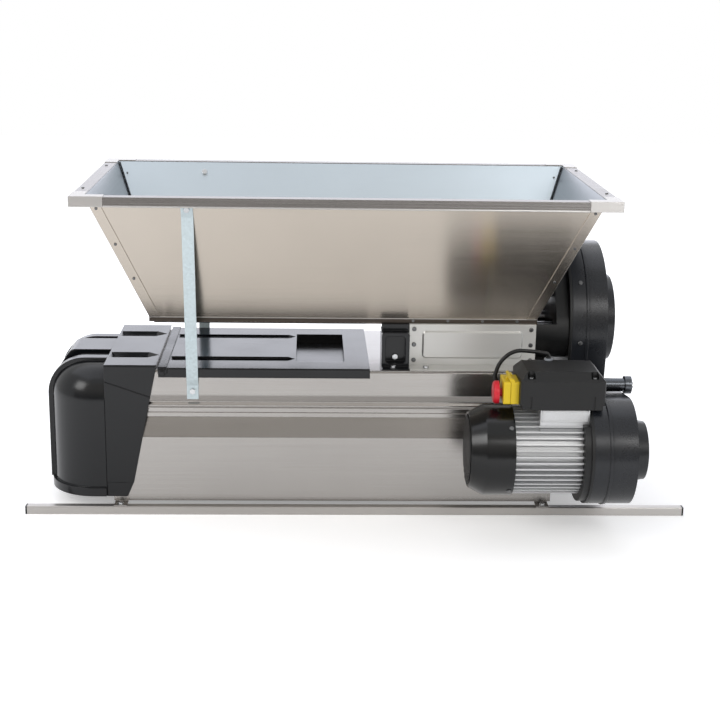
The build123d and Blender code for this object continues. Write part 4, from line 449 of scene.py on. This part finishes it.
class CRUSHER_OT_hopper(bpy.types.Operator):
    """Finishes the riveted hopper and its struts, and rolls the hem of its rim"""

    bl_idname = "crusher.hopper"
    bl_label = "Hopper"

    def execute(self, context):
        sheet = context.scene.crusher_sheet
        front = brushed_stainless(
            "brushed stainless hopper sheet", sheet.hopper_colour, (0.2, 0.26), sheet.brush_gap
        )
        dress(front, "hopper_front_panel", "hopper_trough", "hopper_corner_strips")
        # Painted reflection: the far wall's steel is tinted pale blue for the studio light it reflects
        rear = brushed_stainless(
            "cool rolled stainless sheet", sheet.far_wall_sky_tint_colour, (0.32, 0.4), sheet.brush_gap
        )
        dress(rear, "hopper_rear_panel")
        # Painted shade: the rim's steel is darkened for how its upright face is lit
        rim = brushed_stainless(
            "folded stainless rim", sheet.rim_painted_shade_colour, (0.22, 0.3), sheet.brush_gap, edge=2.5 * MM
        )
        dress(rim, "hopper_rim")
        # Painted shade: the neck's steel is darkened for the shade it sits in
        neck = brushed_stainless(
            "dull stainless neck strip", sheet.neck_painted_shade_colour, (0.34, 0.44), sheet.brush_gap
        )
        dress(neck, "hopper_neck")
        # The caps' steel, also used as a painted highlight on the rim's hem and the neck's fold
        caps = brushed_stainless(
            "satin stainless corner caps", sheet.cap_and_highlight_colour, (0.3, 0.38), sheet.brush_gap, edge=2 * MM
        )
        dress(caps, "rim_corner_caps")
        ends = brushed_stainless(
            "brushed stainless end sheet", sheet.end_colour, (0.28, 0.34), sheet.brush_gap, "Y"
        )
        dress(ends, "hopper_left_end", "hopper_right_end")
        dress(spangled_zinc("hot dip galvanised steel", sheet.strut_colour, sheet.spangle), "hopper_struts")
        self.roll_hem(sheet, caps)
        self.lay_corner_shade(sheet)
        self.fold_neck_highlight(sheet, caps)
        return {"FINISHED"}

    # The hem is real shape, but it takes the paler caps steel instead of the rim's own, a painted highlight
    # along the rim's lower edge
    def roll_hem(self, sheet, material):
        low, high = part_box("hopper_rim")
        half = sheet.hem_width / 2
        stand_out, sink = 0.8 * MM, 0.3 * MM
        inset = half - stand_out
        round_edge = 0.8 * half
        bottom = low[2] - sink
        top = bottom + sheet.hem_width
        left, right = low[0] + sheet.cap_length, high[0] - sheet.cap_length
        front, back = low[1] + sheet.cap_length, high[1] - sheet.cap_length
        shape = bmesh.new()
        for y in (low[1] + inset, high[1] - inset):
            rounded_block(shape, (left, y - half, bottom), (right, y + half, top), round_edge)
        for x in (low[0] + inset, high[0] - inset):
            rounded_block(shape, (x - half, front, bottom), (x + half, back, top), round_edge)
        make_piece("rim_hem", shape, material, "machine")

    # Painted shade: a thin dark rod down each far inside corner stands in for the shade in the crease between
    # end and far wall
    def lay_corner_shade(self, sheet):
        low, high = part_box("hopper_rear_panel")
        neck_low, neck_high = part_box("hopper_neck")
        half = sheet.shade_line_width / 2
        shape = bmesh.new()
        for top_x, foot_x in ((low[0], neck_low[0]), (high[0], neck_high[0])):
            inward = math.copysign(2 * half, foot_x - top_x)
            top = Vector((top_x + inward, high[1] - 3 * half, high[2] - half))
            foot = Vector((foot_x + inward, neck_high[1] - 3 * half, neck_high[2] + half))
            round_rod(shape, foot, top, half)
        shade_material = moulded_plastic("dark corner sealant", sheet.corner_shade_colour, (0.4, 0.5), 1.2 * MM, 0.1)
        make_piece("corner_sealant", shape, shade_material, "machine")

    # Painted highlight: a thin rod along each top edge of the neck, in the paler caps steel, stands in for the
    # light caught on the bend
    def fold_neck_highlight(self, sheet, material):
        low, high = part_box("hopper_neck")
        half = sheet.fold_highlight_width / 2
        shape = bmesh.new()
        for y in (low[1], high[1]):
            round_rod(shape, Vector((low[0], y, high[2])), Vector((high[0], y, high[2])), half)
        make_piece("neck_fold", shape, material, "machine")


class CRUSHER_OT_body(bpy.types.Operator):
    """Finishes the body round the drum, the roller box, the rails and the feet"""

    bl_idname = "crusher.body"
    bl_label = "Body and rails"

    def execute(self, context):
        sheet = context.scene.crusher_sheet
        sides = brushed_stainless(
            "satin stainless body sheet", sheet.body_colour, (0.2, 0.27), sheet.brush_gap, edge=1.5 * MM
        )
        dress(
            sides, "upper_side_panels", "lower_side_skirts", "deck_plate", "drive_end_plate", "foot_brackets",
            "basket_ledges", "drum_basket", "stalk_end_bearing_bar",
        )
        box = brushed_stainless(
            "satin stainless box panels", sheet.box_colour, (0.4, 0.5), sheet.brush_gap, edge=1.5 * MM
        )
        dress(box, "roller_box", "roller_box_panels")
        tube = brushed_stainless(
            "stainless square tube", sheet.rail_colour, (0.3, 0.4), sheet.brush_gap, edge=2 * MM
        )
        dress(tube, "front_rail", "rear_rail")
        return {"FINISHED"}


class CRUSHER_OT_stalk_end(bpy.types.Operator):
    """Finishes the black hood, end frame and lid, and buckles the lid's strap"""

    bl_idname = "crusher.stalk_end"
    bl_label = "Stalk end"

    def execute(self, context):
        plastic = context.scene.crusher_plastic
        black = moulded_plastic(
            "moulded black polypropylene", plastic.black_colour, (0.16, 0.23), plastic.grain, 0.08, 0.08,
            2.5 * MM,
        )
        dress(black, "stalk_hood", "end_frame", "drum_lid", "rail_end_plugs", "adjuster_bracket")
        strap = moulded_plastic(
            "grained rubber strap", plastic.strap_colour, (0.24, 0.32), plastic.grain, 0.3, 0.2
        )
        dress(strap, "lid_strap")
        self.buckle_strap(black)
        return {"FINISHED"}

    def buckle_strap(self, material):
        low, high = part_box("lid_strap")
        shape = bmesh.new()
        plate_low = (low[0] - 0.6 * MM, low[1] - 2.4 * MM, low[2] - 2 * MM)
        plate_high = (high[0] + 1.5 * MM, low[1] + 1 * MM, high[2] - 2 * MM)
        rounded_block(shape, plate_low, plate_high, 1 * MM)
        tongue_low = (low[0] + 3 * MM, low[1] - 3.6 * MM, low[2] - 5 * MM)
        tongue_high = (high[0] - 3 * MM, low[1] - 1 * MM, low[2] + 4 * MM)
        rounded_block(shape, tongue_low, tongue_high, 0.8 * MM)
        make_piece("strap_buckle", shape, material, "drum_lid")


class CRUSHER_OT_drive_end(bpy.types.Operator):
    """Finishes the belt guard, gear cover, the plate behind them and the tie rod"""

    bl_idname = "crusher.drive_end"
    bl_label = "Drive end"

    def execute(self, context):
        plastic = context.scene.crusher_plastic
        casting = context.scene.crusher_casting
        guard = moulded_plastic(
            "grained black guard plastic", plastic.guard_colour, (0.24, 0.32), 1.5 * plastic.grain, 0.8, 0.25,
            2 * MM,
        )
        dress(guard, "guard_inner_half", "guard_outer_half")
        cover = moulded_plastic(
            "black gear cover plastic", plastic.cowl_colour, (0.4, 0.5), plastic.grain, 0.2
        )
        dress(cover, "gear_cover")
        paint = moulded_plastic(
            "black powder paint", plastic.cowl_colour, (0.36, 0.46), plastic.grain, 0.25, 0.1
        )
        dress(paint, "transmission_plate")
        dress(turned_metal("blackened steel rod", casting.rod_colour, 0.24), "spacers_and_tie_rod")
        zinc = turned_metal("bright zinc rod screw", context.scene.crusher_sheet.bolt_colour, 0.24)
        self.screw_rod(casting, zinc)
        return {"FINISHED"}

    def screw_rod(self, casting, material):
        low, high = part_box("spacers_and_tie_rod")
        nut = casting.rod_nut_radius
        end = Vector((high[0], low[1] + nut, high[2] - nut))
        shape = bmesh.new()
        hex_head(shape, end, Matrix.Rotation(math.pi / 2, 4, "Y"), 0.45 * nut, 4 * MM, 0.6 * MM)
        make_piece("tie_rod_screw", shape, material, "machine")


class CRUSHER_OT_motor(bpy.types.Operator):
    """Finishes the motor, its cowl and its terminal box, and adds the cowl's mesh and the pad's rim"""

    bl_idname = "crusher.motor"
    bl_label = "Motor"

    def execute(self, context):
        plastic = context.scene.crusher_plastic
        casting = context.scene.crusher_casting
        aluminium = cast_metal(
            "die cast aluminium", casting.aluminium_colour, (0.4, 0.52), casting.grit, 0.75
        )
        dress(aluminium, "motor_housing")
        gloss = moulded_plastic(
            "glossy black cowl paint", plastic.cowl_colour, (0.16, 0.24), plastic.grain, 0.06, 0.05, 2.5 * MM
        )
        dress(gloss, "fan_cowl")
        box = moulded_plastic(
            "black terminal box plastic", plastic.cowl_colour, (0.36, 0.46), plastic.grain, 0.2, 0.1
        )
        dress(box, "terminal_box", "terminal_lid")
        self.weave_mesh(casting, gloss)
        self.raise_pad_rim(casting, aluminium)
        return {"FINISHED"}

    def weave_mesh(self, casting, material):
        low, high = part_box("fan_cowl")
        middle = (Vector(low) + Vector(high)) / 2
        pitch = casting.mesh_pitch
        outer = pitch / math.sqrt(3)
        inner = (pitch - casting.mesh_bar) / math.sqrt(3)
        rows = int(casting.mesh_radius / pitch * 2 / math.sqrt(3)) + 1
        turns = [math.radians(30 + 60 * corner) for corner in range(6)]
        shape = bmesh.new()
        for row in range(-rows, rows + 1):
            for column in range(-rows, rows + 1):
                across = (column + 0.5 * (row % 2)) * pitch
                up = row * pitch * math.sqrt(3) / 2
                if math.hypot(across, up) > casting.mesh_radius - outer:
                    continue
                rings = []
                for radius in (outer, inner):
                    ring = []
                    for turn in turns:
                        y = middle.y + across + radius * math.cos(turn)
                        z = middle.z + up + radius * math.sin(turn)
                        ring.append(shape.verts.new((low[0], y, z)))
                    rings.append(ring)
                for corner in range(6):
                    after = (corner + 1) % 6
                    shape.faces.new((rings[0][corner], rings[0][after], rings[1][after], rings[1][corner]))
        bmesh.ops.remove_doubles(shape, verts=shape.verts, dist=0.01 * MM)
        thicken(shape, (-casting.mesh_bar, 0, 0))
        make_piece("cowl_mesh", shape, material, "machine")

    def raise_pad_rim(self, casting, material):
        low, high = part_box("motor_housing")
        middle_y = (low[1] + high[1]) / 2
        face = middle_y - casting.pad_half
        left = high[0] - casting.pad_length + 2 * MM
        bottom = high[2] - casting.pad_drop
        bar = casting.pad_rim
        front, back = face - 1 * MM, face + 1 * MM
        shape = bmesh.new()
        top = high[2] - casting.pad_cover
        for x in (left, high[0] - 2 * bar):
            rounded_block(shape, (x, front, bottom), (x + bar, back, top), 0.6 * MM)
        for z in (bottom, top - bar):
            rounded_block(shape, (left, front, z), (high[0] - bar, back, z + bar), 0.6 * MM)
        make_piece("pad_rim", shape, material, "machine")


class CRUSHER_OT_switch(bpy.types.Operator):
    """Finishes the yellow switch, its buttons and its lead, and adds the lead's nut"""

    bl_idname = "crusher.switch"
    bl_label = "Switch"

    def execute(self, context):
        plastic = context.scene.crusher_plastic
        casting = context.scene.crusher_casting
        yellow = moulded_plastic("yellow switch plastic", plastic.switch_colour, (0.28, 0.36), 0.8 * MM, 0.08)
        dress(yellow, "switch_base", "switch_lid")
        red = moulded_plastic("red stop plastic", plastic.stop_colour, (0.24, 0.32), 0.8 * MM, 0.06)
        dress(red, "stop_button")
        green = moulded_plastic("green start plastic", plastic.start_colour, (0.26, 0.34), 0.8 * MM, 0.06)
        dress(green, "start_button")
        rubber = moulded_plastic("black lead rubber", plastic.lead_colour, (0.3, 0.4), 1.2 * MM, 0.1)
        dress(rubber, "switch_lead", "drive_belt")
        nylon = moulded_plastic("grey nylon cable nut", plastic.nut_colour, (0.34, 0.44), plastic.grain, 0.1)
        self.fit_nut(casting, nylon)
        return {"FINISHED"}

    def fit_nut(self, casting, material):
        lead_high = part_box("switch_lead")[1]
        lid_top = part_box("terminal_lid")[1][2]
        place = Vector((lead_high[0] - casting.gland_radius, lead_high[1] - casting.gland_radius, lid_top))
        shape = bmesh.new()
        hex_head(shape, place, Matrix.Identity(4), 1.7 * casting.gland_radius, 4 * MM, 0.6 * MM)
        make_piece("lead_nut", shape, material, "machine")


class CRUSHER_OT_works(bpy.types.Operator):
    """Finishes the rollers, feed screw, beater, shafts and gears"""

    bl_idname = "crusher.works"
    bl_label = "Works"

    def execute(self, context):
        casting = context.scene.crusher_casting
        steel = turned_metal("turned steel", casting.steel_colour, 0.3)
        dress(
            steel, "feed_screw", "screw_gear", "screw_pedestal", "drive_roller_shaft", "idle_shaft_and_gear",
            "drive_shaft_gears", "beater_shaft", "beater_arms", "beater_pinion_and_pulley", "motor_rotor",
        )
        rubber = moulded_plastic("food rubber", casting.rubber_colour, (0.48, 0.6), 1.6 * MM, 0.3)
        dress(rubber, "drive_roller", "idle_roller")
        dress(turned_metal("bush bronze", casting.bronze_colour, 0.3), "roller_bushes")
        iron = cast_metal("grey cast iron", casting.iron_colour, (0.5, 0.65), casting.grit, 0.3)
        dress(iron, "drum_bearings")
        return {"FINISHED"}


class CRUSHER_OT_fasteners(bpy.types.Operator):
    """Finishes bolts, screws and rivets"""

    bl_idname = "crusher.fasteners"
    bl_label = "Fasteners"

    def execute(self, context):
        sheet = context.scene.crusher_sheet
        dress(turned_metal("bright zinc plate", sheet.bolt_colour, 0.24), "hex_bolts")
        dress(turned_metal("dull steel", sheet.rivet_colour, 0.36), "round_screws", "hopper_rivets")
        return {"FINISHED"}


class CRUSHER_OT_stage(bpy.types.Operator):
    """Sets floor, lights, world and camera"""

    bl_idname = "crusher.stage"
    bl_label = "Stage"

    def execute(self, context):
        scene = context.scene
        stage = scene.crusher_stage
        scene.view_settings.view_transform = "Standard"
        self.lay_floor(scene, stage)
        self.hang_dim_wall(scene)
        self.light_world(scene)
        for name, setting, sides, place, aim, hex_colour in LIGHTS:
            self.hang_light(scene, name, getattr(stage, setting), sides, place, aim, hex_colour)
        self.set_camera(scene, stage)
        return {"FINISHED"}

    def seen_directly(self, tree):
        """One where the camera, a reflection or a view through a clear piece meets the surface, else zero."""
        path = add_node(tree, "ShaderNodeLightPath")
        direct = add_node(
            tree, "ShaderNodeMath", {"operation": "MAXIMUM"},
            {0: path.outputs["Is Camera Ray"], 1: path.outputs["Is Glossy Ray"]},
        )
        either = add_node(
            tree, "ShaderNodeMath", {"operation": "MAXIMUM"},
            {0: direct.outputs[0], 1: path.outputs["Is Transmission Ray"]},
        )
        return either.outputs[0]

    def lay_floor(self, scene, stage):
        half = stage.floor_size / 2
        mesh = bpy.data.meshes.new("floor")
        corners = [(-half, -half, 0), (half, -half, 0), (half, half, 0), (-half, half, 0)]
        mesh.from_pydata(corners, [], [(0, 1, 2, 3)])
        floor = bpy.data.objects.new("floor", mesh)
        scene.collection.objects.link(floor)
        # Matt pale paper: the part of it that the lights miss still looks pale to the camera and to metal
        material, tree, place = new_material("matt floor paper")
        seen = self.seen_directly(tree)
        away = add_node(tree, "ShaderNodeVectorMath", {"operation": "LENGTH"}, {0: place}).outputs["Value"]
        fade = add_node(
            tree, "ShaderNodeMapRange", {"interpolation_type": "SMOOTHSTEP", **FLOOR_FADE}, {"Value": away}
        )
        lift = add_node(
            tree, "ShaderNodeMath", {"operation": "MULTIPLY"}, {0: seen, 1: fade.outputs["Result"]}
        )
        shader = add_node(
            tree, "ShaderNodeBsdfPrincipled",
            {
                "Base Color": (*stage.floor_colour, 1), "Roughness": 0.9, "Specular IOR Level": 0.0,
                "Emission Color": (1, 1, 1, 1),
            },
            {"Emission Strength": lift.outputs[0]},
        )
        add_node(tree, "ShaderNodeOutputMaterial", links={"Surface": shader.outputs["BSDF"]})
        floor.data.materials.append(material)

    def hang_dim_wall(self, scene):
        """The dim end of the studio behind the camera, which only metal and gloss show."""
        mesh = bpy.data.meshes.new("dim_wall")
        mesh.from_pydata(WALL_CORNERS, [], [(0, 1, 2, 3)])
        wall = bpy.data.objects.new("dim_wall", mesh)
        scene.collection.objects.link(wall)
        # Painted reflection: a glow that lights nothing, dark at the floor and paler with height, standing in
        # for the lit room behind the camera
        material, tree, place = new_material("dim studio cloth")
        height = add_node(tree, "ShaderNodeSeparateXYZ", links={"Vector": place}).outputs["Z"]
        rise = add_node(tree, "ShaderNodeMapRange", WALL_FADE, {"Value": height})
        shader = add_node(
            tree, "ShaderNodeBsdfPrincipled",
            {"Base Color": (0, 0, 0, 1), "Roughness": 1.0, "Emission Color": (*linear("#FFF9F2"), 1)},
            {"Emission Strength": rise.outputs["Result"]},
        )
        add_node(tree, "ShaderNodeOutputMaterial", links={"Surface": shader.outputs["BSDF"]})
        wall.data.materials.append(material)
        wall.visible_camera = False
        wall.visible_diffuse = False
        wall.visible_shadow = False
        wall.visible_transmission = False

    def light_world(self, scene):
        world = bpy.data.worlds.new("studio")
        scene.world = world
        world.use_nodes = True
        tree = world.node_tree
        tree.nodes.clear()
        seen = self.seen_directly(tree)
        glow = add_node(tree, "ShaderNodeBackground", {"Color": (*linear("#F2F4FA"), 1), "Strength": 0.5})
        white = add_node(tree, "ShaderNodeBackground", {"Color": (1, 1, 1, 1), "Strength": 1.0})
        mix = add_node(
            tree, "ShaderNodeMixShader", links={0: seen, 1: glow.outputs[0], 2: white.outputs[0]}
        )
        add_node(tree, "ShaderNodeOutputWorld", links={"Surface": mix.outputs[0]})

    def hang_light(self, scene, name, watts, sides, place, aim, hex_colour):
        light = bpy.data.lights.new(name, "AREA")
        light.shape = "RECTANGLE"
        light.size, light.size_y = sides
        light.energy = watts
        light.color = linear(hex_colour)
        lamp = bpy.data.objects.new(name, light)
        lamp.location = place
        lamp.rotation_euler = (Vector(aim) - Vector(place)).to_track_quat("-Z", "Y").to_euler()
        lamp.visible_camera = False
        scene.collection.objects.link(lamp)

    def set_camera(self, scene, stage):
        pitch, yaw, roll = (math.radians(angle) for angle in CAMERA_TURN)
        forward = Vector((math.sin(yaw) * math.cos(pitch), math.cos(yaw) * math.cos(pitch), -math.sin(pitch)))
        level = Vector((math.cos(yaw), -math.sin(yaw), 0))
        upright = level.cross(forward)
        right = math.cos(roll) * level + math.sin(roll) * upright
        up = -math.sin(roll) * level + math.cos(roll) * upright
        data = bpy.data.cameras.new("camera")
        data.lens = stage.lens
        data.sensor_width = SENSOR_WIDTH
        camera = bpy.data.objects.new("camera", data)
        turn = Matrix((right, up, -forward)).transposed().to_4x4()
        camera.matrix_world = Matrix.Translation(CAMERA_PLACE) @ turn
        scene.collection.objects.link(camera)
        scene.camera = camera


class CRUSHER_PT_sidebar(bpy.types.Panel):
    """Lists the steps that dress the machine"""

    bl_idname = "CRUSHER_PT_sidebar"
    bl_label = "Fruit crusher"
    bl_space_type = "VIEW_3D"
    bl_region_type = "UI"
    bl_category = "Crusher"

    def draw(self, context):
        for step in STEPS:
            self.layout.operator(step.bl_idname)
        for group in SETTINGS:
            settings = getattr(context.scene, group)
            for name in settings.__annotations__:
                self.layout.prop(settings, name)


SETTINGS = {
    "crusher_sheet": SheetSettings,
    "crusher_plastic": PlasticSettings,
    "crusher_casting": CastingSettings,
    "crusher_stage": StageSettings,
}
STEPS = (
    CRUSHER_OT_hopper,
    CRUSHER_OT_body,
    CRUSHER_OT_stalk_end,
    CRUSHER_OT_drive_end,
    CRUSHER_OT_motor,
    CRUSHER_OT_switch,
    CRUSHER_OT_works,
    CRUSHER_OT_fasteners,
    CRUSHER_OT_stage,
)


def register():
    for name, group in SETTINGS.items():
        bpy.utils.register_class(group)
        setattr(bpy.types.Scene, name, PointerProperty(type=group))
    for step in STEPS:
        bpy.utils.register_class(step)
    bpy.utils.register_class(CRUSHER_PT_sidebar)


def unregister():
    bpy.utils.unregister_class(CRUSHER_PT_sidebar)
    for step in reversed(STEPS):
        bpy.utils.unregister_class(step)
    for name, group in SETTINGS.items():
        delattr(bpy.types.Scene, name)
        bpy.utils.unregister_class(group)


def main():
    register()
    bpy.ops.crusher.hopper()
    bpy.ops.crusher.body()
    bpy.ops.crusher.stalk_end()
    bpy.ops.crusher.drive_end()
    bpy.ops.crusher.motor()
    bpy.ops.crusher.switch()
    bpy.ops.crusher.works()
    bpy.ops.crusher.fasteners()
    bpy.ops.crusher.stage()


if __name__ == "__main__":
    main()
